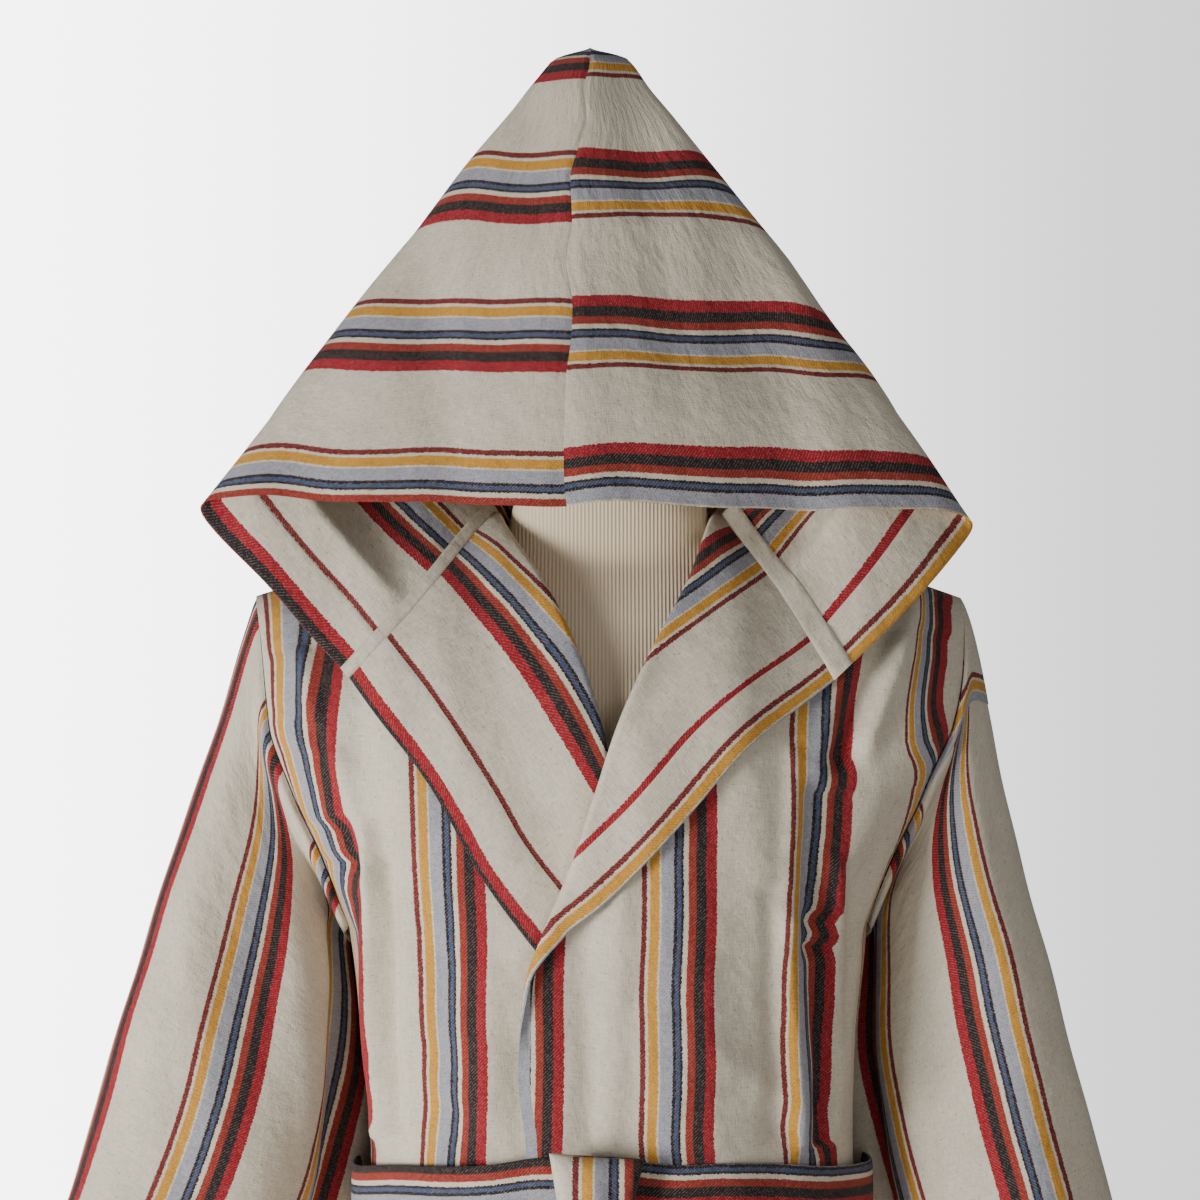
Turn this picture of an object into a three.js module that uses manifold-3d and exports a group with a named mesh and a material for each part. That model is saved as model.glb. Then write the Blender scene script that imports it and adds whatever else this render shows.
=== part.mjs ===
// A hooded bathrobe of striped woven cotton, worn by a limbless dress form on a pole and a round base.
// Millimetres, +Z up. The front faces -Y, and "right" is the side of +X, as seen from the front.
// The origin is the middle of the underside of the base.
import * as THREE from 'three';
import * as BufferGeometryUtils from 'three/addons/utils/BufferGeometryUtils.js';
import Module from 'manifold-3d';

const wasm = await Module();
wasm.setup();

// ---------- driving dimensions ----------
const WALL = 1.6; // thickness of the cloth
const BELT_WALL = 3.0; // the belt is the same cloth sewn double
const SEAM = 0.35; // space between two pieces at a seam
const ROLL = 3.6; // inner radius where a front edge turns back as a lapel

const SHOULDER_LEVEL = 1500; // level of the shoulder seam beside the neck
const CHEST_LEVEL = 1300; // level where the chest is fullest
const UNDERARM_LEVEL = 1200;
const HEM_LEVEL = 285;
const NECK_HALF = 82; // half the width of the neckline
const NECK_BACK = 58; // how far the neckline reaches back
const SHOULDER_SLOPE = 0.32; // fall of the shoulder seam for each millimetre outwards
const CHEST_DEPTH = 124; // half the depth of the chest
const SQUARE = 2.4; // exponent of the superellipse that every body section follows
const ARM_OPEN = 50; // half the width of the armhole from front to back

const OVERLAP_LIFT = 12; // the right front rides this far out over the left lapel
const OVERLAP_LIFT_SKIRT = 6; // and this far below the belt

const BELT_TOP = 1043;
const BELT_BOTTOM = 986;

const HOOD_APEX = [-14, 20, 1889]; // where the hood's slopes would meet if its point were sharp
const HOOD_BLUNT = 32; // the rounded point lies this far below it
const HOOD_FRONT = [-31, -125, 1508]; // middle of the hood's front edge
const HOOD_CORNER = { left: [-306, -50, 1519], right: [271, -50, 1507] };
const HOOD_HEIGHT = 440; // cloth from the neck seam to the top seam

const FORM_BOTTOM = 780;
const NECK_TOP = 1532;
const CAP_HEIGHT = 14;
const POST_RADIUS = 8;
const POST_BALL = 14;
const POST_PLACE = [-14, 16]; // the post stands back of the middle, under the point of the hood
const POST_TOP = 1835;
const POLE_RADIUS = 17;
const BASE_RADIUS = 195;
const BASE_HEIGHT = 16;

// Half width and half depth of the robe below the armholes.
const BODY_SECTIONS = [
  { level: 1200, width: 192, depth: 124 },
  { level: 1120, width: 184, depth: 119 },
  { level: 1040, width: 179, depth: 112 },
  { level: 990, width: 180, depth: 112 },
  { level: 930, width: 198, depth: 124 },
  { level: 780, width: 226, depth: 146 },
  { level: 550, width: 262, depth: 174 },
  { level: 285, width: 298, depth: 202 },
];

// How far the armhole seam lies from the middle.
const ARMHOLE = [
  { level: 1200, reach: 192 },
  { level: 1250, reach: 210 },
  { level: 1300, reach: 232 },
  { level: 1360, reach: 251 },
  { level: 1500, reach: 262 },
];

// Course of each front's free edge. roll: where the cloth turns, measured from the middle towards the
// panel's own side. width and lean: how wide the turned part is and how far it points below the level.
// turn: how far it is turned, from 180 for a flat lapel to 0 for a plain edge.
const FRONT_EDGE = {
  right: [
    { level: 1500, roll: 82, width: 153, lean: 57, turn: 180 },
    { level: 1400, roll: 33, width: 103, lean: 50, turn: 180 },
    { level: 1300, roll: -6, width: 65, lean: 47, turn: 180 },
    { level: 1240, roll: -26, width: 38, lean: 46, turn: 180 },
    { level: 1200, roll: -43, width: 20, lean: 40, turn: 180 },
    { level: 1165, roll: -54, width: 10, lean: 20, turn: 130 },
    { level: 1130, roll: -56, width: 8, lean: 0, turn: 40 },
    { level: 1100, roll: -57, width: 8, lean: 0, turn: 0 },
    { level: 1040, roll: -50, width: 8, lean: 0, turn: 0 },
    { level: 800, roll: -58, width: 8, lean: 0, turn: 0 },
    { level: 285, roll: -76, width: 8, lean: 0, turn: 0 },
  ],
  left: [
    { level: 1500, roll: 82, width: 168, lean: 48, turn: 180 },
    { level: 1412, roll: 33, width: 148, lean: 43, turn: 180 },
    { level: 1337, roll: 5, width: 133, lean: 39, turn: 180 },
    { level: 1250, roll: -9, width: 99, lean: 45, turn: 180 },
    { level: 1184, roll: -20, width: 60, lean: 44, turn: 180 },
    { level: 1130, roll: -40, width: 20, lean: 30, turn: 180 },
    { level: 1096, roll: -56, width: 8, lean: 10, turn: 130 },
    { level: 1070, roll: -60, width: 8, lean: 0, turn: 40 },
    { level: 1043, roll: -62, width: 8, lean: 0, turn: 0 },
    { level: 285, roll: -84, width: 8, lean: 0, turn: 0 },
  ],
};

// Sleeves, from the armhole to the cuff: the outer line, the inner line and half the depth.
const SLEEVE = {
  left: [
    { along: 0, outer: 262, outerZ: 1442, inner: 192, innerZ: 1200, depth: 50 },
    { along: 1, outer: 276, outerZ: 1405, inner: 202, innerZ: 1186, depth: 57 },
    { along: 2, outer: 300, outerZ: 1328, inner: 208, innerZ: 1164, depth: 64 },
    { along: 3, outer: 326, outerZ: 1245, inner: 202, innerZ: 1125, depth: 69 },
    { along: 4, outer: 352, outerZ: 1162, inner: 199, innerZ: 1078, depth: 72 },
    { along: 5, outer: 378, outerZ: 1080, inner: 203, innerZ: 1015, depth: 74 },
    { along: 6, outer: 401, outerZ: 1005, inner: 217, innerZ: 950, depth: 76 },
    { along: 7, outer: 423, outerZ: 935, inner: 236, innerZ: 890, depth: 78 },
  ],
  right: [
    { along: 0, outer: 262, outerZ: 1442, inner: 192, innerZ: 1200, depth: 50 },
    { along: 1, outer: 270, outerZ: 1405, inner: 200, innerZ: 1186, depth: 56 },
    { along: 2, outer: 286, outerZ: 1328, inner: 203, innerZ: 1164, depth: 62 },
    { along: 3, outer: 307, outerZ: 1245, inner: 200, innerZ: 1125, depth: 67 },
    { along: 4, outer: 330, outerZ: 1162, inner: 197, innerZ: 1078, depth: 70 },
    { along: 5, outer: 351, outerZ: 1080, inner: 201, innerZ: 1015, depth: 72 },
    { along: 6, outer: 370, outerZ: 1005, inner: 214, innerZ: 950, depth: 74 },
    { along: 7, outer: 388, outerZ: 932, inner: 230, innerZ: 886, depth: 76 },
  ],
};

// Upright folds: where each lies round the body (degrees from the front middle, + to the right), how
// wide it is, how far it stands out, and the levels between which it runs.
const FOLDS = [
  { at: -64, width: 7, height: 5, top: 1260, bottom: 1050 },
  { at: 66, width: 6, height: 5, top: 1290, bottom: 1050 },
  { at: 50, width: 6, height: 4, top: 1330, bottom: 1050 },
  { at: -30, width: 9, height: 4, top: 1180, bottom: 1050 },
  { at: 150, width: 9, height: 6, top: 1400, bottom: 1050 },
  { at: -146, width: 10, height: 6, top: 1380, bottom: 1050 },
  { at: 180, width: 9, height: 5, top: 1330, bottom: 1050 },
];
const SKIRT_FOLDS = [
  { at: -72, width: 10, height: 20 },
  { at: -38, width: 8, height: 15 },
  { at: 34, width: 8, height: 14 },
  { at: 68, width: 10, height: 20 },
  { at: 104, width: 10, height: 18 },
  { at: 138, width: 10, height: 20 },
  { at: 174, width: 11, height: 18 },
  { at: -146, width: 10, height: 20 },
  { at: -108, width: 10, height: 18 },
];

// Half width and half depth of the dress form below the shoulders.
const FORM_SECTIONS = [
  { level: FORM_BOTTOM, width: 168, depth: 108 },
  { level: 860, width: 172, depth: 112 },
  { level: 960, width: 152, depth: 100 },
  { level: 1050, width: 136, depth: 92 },
  { level: 1150, width: 152, depth: 102 },
  { level: 1250, width: 168, depth: 110 },
  { level: 1350, width: 180, depth: 108 },
];

// ---------- numbers ----------
const clamp = (value, low, high) => Math.min(high, Math.max(low, value));
const mix = (a, b, share) => a + (b - a) * share;
const ease = (value) => {
  const t = clamp(value, 0, 1);
  return t * t * (3 - 2 * t);
};
const radians = THREE.MathUtils.degToRad;

// Reads one column of a table at any place between its rows, on a smooth curve.
function read(table, key, column, place) {
  const rows = [...table].sort((a, b) => a[key] - b[key]);
  const at = clamp(place, rows[0][key], rows[rows.length - 1][key]);
  let i = 0;
  while (i < rows.length - 2 && at > rows[i + 1][key]) i += 1;
  const slope = (j) => {
    if (j < 0 || j > rows.length - 2) return null;
    return (rows[j + 1][column] - rows[j][column]) / (rows[j + 1][key] - rows[j][key]);
  };
  const tangent = (j) => {
    const before = slope(j - 1);
    const after = slope(j);
    if (before === null) return after;
    if (after === null) return before;
    return before * after <= 0 ? 0 : (2 * before * after) / (before + after);
  };
  const span = rows[i + 1][key] - rows[i][key];
  const t = (at - rows[i][key]) / span;
  const rise = ease(t);
  const bend = (t ** 3 - 2 * t ** 2 + t) * tangent(i) + (t ** 3 - t ** 2) * tangent(i + 1);
  return mix(rows[i][column], rows[i + 1][column], rise) + bend * span;
}

// ---------- the body that the robe wraps ----------
// A place on it is an angle round the body (0 front middle, + to the right) and a level.
const signedPower = (value, power) => Math.sign(value) * Math.abs(value) ** power;
const shoulderFall = (level) => SHOULDER_SLOPE * ease((level - CHEST_LEVEL) / (SHOULDER_LEVEL - CHEST_LEVEL));

function halfDepth(level) {
  if (level < UNDERARM_LEVEL) return read(BODY_SECTIONS, 'level', 'depth', level);
  const rise = clamp((level - CHEST_LEVEL) / (SHOULDER_LEVEL - CHEST_LEVEL), 0, 1);
  return Math.max(SEAM / 2, CHEST_DEPTH * Math.sqrt(1 - rise ** 2));
}

// The armhole is open from the shoulder to the underarm, rounded at both ends.
function armholeOpen(level) {
  const middle = (SHOULDER_LEVEL + UNDERARM_LEVEL) / 2;
  const share = clamp((level - middle) / (SHOULDER_LEVEL - middle), -1, 1);
  return Math.min(ARM_OPEN * Math.sqrt(1 - share ** 2), 0.47 * halfDepth(level));
}

function halfWidth(level) {
  if (level < UNDERARM_LEVEL) return read(BODY_SECTIONS, 'level', 'width', level);
  const open = armholeOpen(level) / halfDepth(level);
  return read(ARMHOLE, 'level', 'reach', level) / (1 - open ** SQUARE) ** (1 / SQUARE);
}

// Angle, from the front or back middle, at which a panel ends at the armhole or side seam.
function edgeAngle(level) {
  const least = level <= UNDERARM_LEVEL ? SEAM / 2 : 0;
  const open = Math.max(armholeOpen(level), least) / halfDepth(level);
  return Math.acos(open ** (SQUARE / 2));
}

function basePoint(angle, level) {
  const x = halfWidth(level) * signedPower(Math.sin(angle), 2 / SQUARE);
  const y = -halfDepth(level) * signedPower(Math.cos(angle), 2 / SQUARE);
  const z = level - shoulderFall(level) * Math.max(0, Math.abs(x) - NECK_HALF);
  return new THREE.Vector3(x, y, z);
}

function foldHeight(angle, level) {
  const degrees = THREE.MathUtils.radToDeg(angle);
  const bump = (fold) => {
    const apart = Math.abs(((degrees - fold.at + 540) % 360) - 180);
    return fold.height * Math.exp(-((apart / fold.width) ** 2));
  };
  let height = 0;
  for (const fold of FOLDS) {
    const inside = ease((fold.top - level) / 80) * ease((level - fold.bottom) / 60);
    height += bump(fold) * inside;
  }
  const low = ease((BELT_BOTTOM - 6 - level) / 420);
  for (const fold of SKIRT_FOLDS) height += bump(fold) * low;
  return height;
}

function outward(angle, level) {
  const turn = 0.004;
  const drop = 0.4;
  const high = Math.min(level + drop, SHOULDER_LEVEL);
  const round = basePoint(angle + turn, level).sub(basePoint(angle - turn, level));
  const up = basePoint(angle, high).sub(basePoint(angle, high - 2 * drop));
  return round.cross(up).normalize();
}

// A point on the robe's outer face, moved out by lift.
function bodyPoint(angle, level, lift = 0) {
  const out = outward(angle, level);
  return basePoint(angle, level).addScaledVector(out, lift + foldHeight(angle, level));
}

// Angle and level of the place on the front that shows at x, z.
function frontPlace(x, z) {
  let level = z;
  const slanting = Math.max(0, Math.abs(x) - NECK_HALF);
  for (let i = 0; i < 8; i += 1) level = Math.min(SHOULDER_LEVEL, z + shoulderFall(level) * slanting);
  const share = clamp(x / halfWidth(level), -0.999, 0.999);
  return { angle: Math.asin(signedPower(share, SQUARE / 2)), level };
}

// How far the outermost front stands off the base where both fronts overlap.
function overlapLift(x, level) {
  const rightSide = 1 - ease((x - 60) / 90);
  const leftSide = ease((x + 165) / 85);
  const high = mix(OVERLAP_LIFT_SKIRT, OVERLAP_LIFT, ease((level - 960) / 90));
  return high * rightSide * leftSide * ease((1465 - level) / 95);
}

const rightFrontLift = (x, level) => {
  const high = mix(OVERLAP_LIFT_SKIRT, OVERLAP_LIFT, ease((level - 960) / 90));
  return high * (1 - ease((x - 60) / 90)) * ease((1465 - level) / 95);
};

// ---------- walls ----------
function gridNormals(grid, wrap) {
  const rows = grid.length;
  const columns = grid[0].length;
  return grid.map((row, i) => row.map((point, j) => {
    const left = wrap ? row[(j + columns - 1) % columns] : row[Math.max(0, j - 1)];
    const right = wrap ? row[(j + 1) % columns] : row[Math.min(columns - 1, j + 1)];
    const above = grid[Math.max(0, i - 1)][j];
    const below = grid[Math.min(rows - 1, i + 1)][j];
    return right.clone().sub(left).cross(above.clone().sub(below)).normalize();
  }));
}

// Closed shell between two grids of the same size: a face, a back and the rims between them.
function shell(face, back, wrap = false) {
  const rows = face.length;
  const columns = face[0].length;
  const positions = [...face.flat(), ...back.flat()].flatMap((point) => [point.x, point.y, point.z]);
  const count = rows * columns;
  const index = [];
  const quad = (a, b, c, d) => index.push(a, b, c, a, c, d);
  const steps = wrap ? columns : columns - 1;
  for (let i = 0; i < rows - 1; i += 1) {
    for (let j = 0; j < steps; j += 1) {
      const next = (j + 1) % columns;
      const a = i * columns + j;
      const b = i * columns + next;
      const c = (i + 1) * columns + next;
      const d = (i + 1) * columns + j;
      quad(a, d, c, b);
      quad(count + a, count + b, count + c, count + d);
    }
  }
  for (let j = 0; j < steps; j += 1) {
    const next = (j + 1) % columns;
    const last = (rows - 1) * columns;
    quad(j, next, count + next, count + j);
    quad(last + next, last + j, count + last + j, count + last + next);
  }
  for (let i = 0; i < rows - 1 && !wrap; i += 1) {
    const a = i * columns;
    const b = (i + 1) * columns;
    const c = b + columns - 1;
    const d = a + columns - 1;
    quad(b, a, count + a, count + b);
    quad(d, c, count + c, count + d);
  }
  const geometry = new THREE.BufferGeometry();
  geometry.setAttribute('position', new THREE.Float32BufferAttribute(positions, 3));
  geometry.setIndex(index);
  return facingOut(geometry);
}

function volume(geometry) {
  const p = geometry.getAttribute('position');
  const index = geometry.getIndex().array;
  const a = new THREE.Vector3();
  const b = new THREE.Vector3();
  const c = new THREE.Vector3();
  let total = 0;
  for (let i = 0; i < index.length; i += 3) {
    a.fromBufferAttribute(p, index[i]);
    b.fromBufferAttribute(p, index[i + 1]);
    c.fromBufferAttribute(p, index[i + 2]);
    total += a.dot(b.cross(c)) / 6;
  }
  return total;
}

function facingOut(geometry) {
  if (volume(geometry) < 0) {
    const index = geometry.getIndex().array;
    for (let i = 0; i < index.length; i += 3) [index[i], index[i + 1]] = [index[i + 1], index[i]];
  }
  return geometry;
}

// A wall of cloth behind a grid of face points. sign is +1 where the grid's normals point to the face.
function wall(grid, thickness, options = {}) {
  const { wrap = false, sign = 1, rims = new Map() } = options;
  const normals = gridNormals(grid, wrap);
  const back = grid.map((row, i) => row.map((point, j) => {
    const rim = rims.get(`${i},${j}`);
    const inward = rim ? rim.clone() : normals[i][j].clone().multiplyScalar(-sign * thickness);
    return point.clone().add(inward);
  }));
  return shell(grid, back, wrap);
}

// Common rim of two walls that meet at a seam: both rims run along it, so they stay parallel. Only
// where the outside bends away over the seam; elsewhere each keeps its own.
function mitre(ownNormal, otherNormal, away, thickness) {
  if (otherNormal.dot(away) <= -0.25) return ownNormal.clone().multiplyScalar(-thickness);
  const middle = ownNormal.clone().add(otherNormal).normalize();
  const length = thickness / Math.max(0.6, middle.dot(ownNormal));
  return middle.multiplyScalar(-length);
}

// ---------- levels of the rows ----------
const ARM_LEVELS = [1500, 1495, 1480, 1456, 1424, 1388, 1348, 1306, 1268, 1236, 1212, 1200];
const BELT_LEVELS = [BELT_TOP, (BELT_TOP + BELT_BOTTOM) / 2, BELT_BOTTOM];
const BODICE_LEVELS = [1176, 1150, 1124, 1096, 1070];
const SKIRT_LEVELS = [958, 915, 860, 790, 710, 620, 520, 430, 350, HEM_LEVEL];
const LOWER_LEVELS = [...BODICE_LEVELS, ...BELT_LEVELS, ...SKIRT_LEVELS];
const LEVELS = [...ARM_LEVELS, ...LOWER_LEVELS];

// ---------- sleeves ----------
// Ring 0 is the armhole: down its front edge and up its back edge.
function armholeRing(side) {
  const front = ARM_LEVELS.map((level) => bodyPoint(side * edgeAngle(level), level));
  const back = ARM_LEVELS.map((level) => bodyPoint(side * (Math.PI - edgeAngle(level)), level));
  return [...front, ...back.slice(1, -1).reverse()];
}

const armAngle = (level) => {
  const middle = (SHOULDER_LEVEL + UNDERARM_LEVEL) / 2;
  return Math.acos(clamp((level - middle) / (SHOULDER_LEVEL - middle), -1, 1));
};
const RING_ANGLES = [
  ...ARM_LEVELS.map(armAngle),
  ...ARM_LEVELS.slice(1, -1).reverse().map((level) => 2 * Math.PI - armAngle(level)),
];
const SLEEVE_STEPS = [0, 0.25, 0.6, 1, 1.5, 2, 2.6, 3.2, 3.8, 4.4, 5, 5.6, 6.2, 7];

function sleevePoint(name, side, along, angle) {
  const at = (column) => read(SLEEVE[name], 'along', column, along);
  const top = new THREE.Vector3(side * at('outer'), 0, at('outerZ'));
  const bottom = new THREE.Vector3(side * at('inner'), 0, at('innerZ'));
  const crease = 1 + 0.05 * Math.sin(3 * angle + 1.7 * along) * ease(along / 2) * ease((8 - along) / 3);
  const point = top.clone().add(bottom).multiplyScalar(0.5);
  point.addScaledVector(top.sub(bottom).multiplyScalar(0.5), Math.cos(angle));
  point.y = -at('depth') * signedPower(Math.sin(angle), 0.9) * crease;
  return point;
}

function sleeveGrid(name, side) {
  const armhole = armholeRing(side);
  return SLEEVE_STEPS.map((along, k) => RING_ANGLES.map((angle, j) => {
    const ellipse = sleevePoint(name, side, along, angle);
    if (k > 0) {
      const start = sleevePoint(name, side, 0, angle);
      const rest = armhole[j].clone().sub(start).multiplyScalar(1 - ease(along / 3));
      return ellipse.add(rest);
    }
    const next = sleevePoint(name, side, SLEEVE_STEPS[1], angle);
    const first = sleevePoint(name, side, 0, angle);
    const last = armhole.length - 1;
    const following = armhole[(j + 1) % armhole.length];
    const seamLine = following.clone().sub(armhole[(j + last) % armhole.length]).normalize();
    const away = next.sub(first);
    away.addScaledVector(seamLine, -away.dot(seamLine)).normalize();
    const start = armhole[j].clone().addScaledVector(away, SEAM);
    start.x += (side * SEAM) / 2;
    return start;
  }));
}

// ---------- fronts ----------
const PANEL_COLUMNS = 10;
const ARC_STEPS = 3;
const LAPEL_COLUMNS = 5;

// The turned part of a front, from its free edge in to the roll.
function lapelPoint(name, side, level, out) {
  const at = (column) => read(FRONT_EDGE[name], 'level', column, level);
  const turn = radians(at('turn'));
  const reach = at('width');
  const arc = Math.min(Math.PI * ROLL, 0.6 * reach);
  const flat = Math.max(0, out - ARC_STEPS) / LAPEL_COLUMNS;
  const length = mix((arc * Math.min(out, ARC_STEPS)) / ARC_STEPS, reach, flat);
  const bent = Math.min(length, ROLL * turn);
  const straight = length - bent;
  const bend = turn > 0 ? bent / ROLL : 0;
  const beyond = ROLL * Math.sin(bend) + straight * Math.cos(turn);
  const lift = ROLL * (1 - Math.cos(bend)) + straight * Math.sin(turn);
  const lean = radians(at('lean'));
  const roll = side * at('roll');
  const rollZ = level - shoulderFall(level) * Math.max(0, Math.abs(roll) - NECK_HALF);
  const x = roll - side * beyond * Math.cos(lean);
  const z = rollZ + beyond * Math.sin(lean);
  const place = frontPlace(x, z);
  const base = name === 'right' ? rightFrontLift(x, place.level) : 0;
  return bodyPoint(place.angle, place.level, base + lift);
}

function frontPoint(name, side, level, share) {
  const roll = side * read(FRONT_EDGE[name], 'level', 'roll', level);
  const start = frontPlace(roll, level - shoulderFall(level) * Math.max(0, Math.abs(roll) - NECK_HALF)).angle;
  const angle = mix(start, side * edgeAngle(level), share);
  const x = basePoint(angle, level).x;
  return bodyPoint(angle, level, name === 'right' ? rightFrontLift(x, level) : 0);
}

function frontGrid(name, side) {
  return LEVELS.map((level) => {
    const lapel = [];
    for (let out = ARC_STEPS + LAPEL_COLUMNS; out > 0; out -= 1) {
      lapel.push(lapelPoint(name, side, level, out));
    }
    const panel = [];
    for (let j = 0; j <= PANEL_COLUMNS; j += 1) {
      panel.push(frontPoint(name, side, level, j / PANEL_COLUMNS));
    }
    return [...lapel, ...panel];
  });
}

// ---------- back ----------
const NECKLINE_STEPS = 4; // columns from the middle of the neckline to its end
const SHOULDER_STEPS = 6;

const neckAngle = Math.asin((NECK_HALF / halfWidth(SHOULDER_LEVEL)) ** (SQUARE / 2));

function neckLevel(x) {
  if (Math.abs(x) >= NECK_HALF) return SHOULDER_LEVEL;
  const backward = NECK_BACK * Math.sqrt(1 - (x / NECK_HALF) ** 2);
  const section = (1 - (Math.abs(x) / halfWidth(SHOULDER_LEVEL)) ** SQUARE) ** (1 / SQUARE);
  const rise = Math.sqrt(1 - (backward / section / CHEST_DEPTH) ** 2);
  return mix(CHEST_LEVEL, SHOULDER_LEVEL, rise);
}

// column runs from 0 in the middle to NECKLINE_STEPS + SHOULDER_STEPS at the armhole or side seam.
function backPoint(side, column, level) {
  const top = column <= NECKLINE_STEPS
    ? (neckAngle * column) / NECKLINE_STEPS
    : mix(neckAngle, edgeAngle(SHOULDER_LEVEL), (column - NECKLINE_STEPS) / SHOULDER_STEPS);
  const share = top / edgeAngle(SHOULDER_LEVEL);
  const xTop = halfWidth(SHOULDER_LEVEL) * Math.sin(top) ** (2 / SQUARE);
  const sink = (SHOULDER_LEVEL - neckLevel(xTop)) * ease((level - 1240) / (SHOULDER_LEVEL - 1240));
  const place = level - sink;
  return bodyPoint(side * (Math.PI - share * edgeAngle(place)), place);
}

function backGrid() {
  const last = NECKLINE_STEPS + SHOULDER_STEPS;
  return LEVELS.map((level) => {
    const row = [];
    for (let column = last; column > 0; column -= 1) row.push(backPoint(1, column, level));
    for (let column = 0; column <= last; column += 1) row.push(backPoint(-1, column, level));
    return row;
  });
}

// ---------- hood ----------
const BAG_ROWS = 10; // rows from the neck seam to the ridge
const SLOPE_ROWS = 5; // rows from the ridge to the top seam
const HOOD_ROWS = BAG_ROWS + SLOPE_ROWS + 1;
const RIDGE_START = 0.08; // the ridge starts this share of the way from the apex to the corner

// The neck seam of one half: along the back neckline to the shoulder, then along the lapel's top.
function neckSeam(name, side) {
  const points = [];
  for (let column = 0; column <= NECKLINE_STEPS; column += 1) {
    points.push(backPoint(side, column, SHOULDER_LEVEL));
  }
  for (let out = 1; out <= ARC_STEPS + LAPEL_COLUMNS; out += 1) {
    points.push(lapelPoint(name, side, SHOULDER_LEVEL, out));
  }
  return points;
}

function shares(points) {
  const sums = [0];
  for (let i = 1; i < points.length; i += 1) sums.push(sums[i - 1] + points[i].distanceTo(points[i - 1]));
  return sums.map((sum) => sum / sums[sums.length - 1]);
}

// Each half is a rectangle of cloth. From its top seam it hangs as a flat slope to the ridge, which
// runs from the apex to the corner. Behind the ridge it bags out and comes in to the neck seam.
function hoodGrid(name, side) {
  const apex = new THREE.Vector3(...HOOD_APEX);
  const front = new THREE.Vector3(...HOOD_FRONT);
  const corner = new THREE.Vector3(...HOOD_CORNER[name]);
  const seam = neckSeam(name, side);
  const across = shares(seam);
  const slope = corner.distanceTo(front);
  const columns = seam.map((start, j) => {
    const forward = across[j];
    const top = apex.clone().lerp(front, forward);
    const ridgeShare = mix(RIDGE_START, 1, forward);
    const ridge = apex.clone().lerp(corner, ridgeShare);
    ridge.x = mix(apex.x, ridge.x, ease(forward * 12));
    ridge.y += 12 * (1 - forward) ** 4;
    const behind = HOOD_HEIGHT - slope * ridgeShare;
    const chord = ridge.distanceTo(start);
    const bag = chord * 0.62 * Math.sqrt(Math.max(0, behind / chord - 1));
    const outDirection = new THREE.Vector3(side * 0.75 * Math.sin(Math.PI * forward), 1, 0.1).normalize();
    return Array.from({ length: HOOD_ROWS }, (_, i) => {
      if (i >= BAG_ROWS) return ridge.clone().lerp(top, (i - BAG_ROWS) / SLOPE_ROWS);
      const share = i / BAG_ROWS;
      const swell = bag * Math.sin(Math.PI * share) ** 1.25;
      return start.clone().lerp(ridge, share).addScaledVector(outDirection, swell);
    });
  });
  columns.flat().forEach((point) => {
    const below = apex.z - point.z;
    point.z = apex.z - Math.hypot(below, HOOD_BLUNT * ease(1.4 - below / 250));
  });
  for (let pass = 0; pass < 2; pass += 1) {
    columns.forEach((column, j) => {
      const old = column.map((point) => point.clone());
      const soft = 0.5 - 0.3 * across[j];
      for (let i = 1; i < HOOD_ROWS - 1; i += 1) {
        column[i].lerp(old[i - 1].clone().add(old[i + 1]).multiplyScalar(0.5), soft);
      }
    });
  }
  // The seam edges stand clear of what they are sewn to.
  columns.forEach((column) => {
    const away = column[1].clone().sub(column[0]).normalize();
    column[0].addScaledVector(away, 1.4 * SEAM);
    column[HOOD_ROWS - 1].x += (side * SEAM) / 2;
  });
  columns[0].slice(0, -1).forEach((point) => {
    point.x += (side * SEAM) / 2;
  });
  return Array.from({ length: HOOD_ROWS }, (_, i) => columns.map((column) => column[i]));
}

// ---------- belt ----------
const BELT_STEPS = 60;
const BELT_CLEAR = 1.0; // from the robe's curved face to the belt's straight steps

function beltPoint(angle, level, lift) {
  const base = basePoint(angle, level);
  const overlap = Math.abs(angle) < Math.PI / 2 ? overlapLift(base.x, level) : 0;
  return bodyPoint(angle, level, overlap + BELT_CLEAR + lift);
}

function beltBand() {
  const ring = (level, lift) => Array.from({ length: BELT_STEPS }, (_, j) => {
    const angle = (2 * Math.PI * j) / BELT_STEPS - Math.PI;
    return beltPoint(angle, level, lift);
  });
  const face = BELT_LEVELS.map((level) => ring(level, BELT_WALL));
  return shell(face, BELT_LEVELS.map((level) => ring(level, 0)), true);
}

const KNOT = { x: -8, z: 1013, halfWidth: 33, halfHeight: 36, height: 30 };
const KNOT_SEAT = BELT_CLEAR + BELT_WALL + 2 * SEAM; // the back of the knot, just clear of the band
const KNOT_COLUMNS = 13;
const KNOT_ROWS = 11;
const WRAP_RIDGE = 1.6; // height of the ridges between the wraps

function frontSurface(x, z, lift) {
  const place = frontPlace(x, z);
  return bodyPoint(place.angle, place.level, overlapLift(x, place.level) + lift);
}

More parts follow.
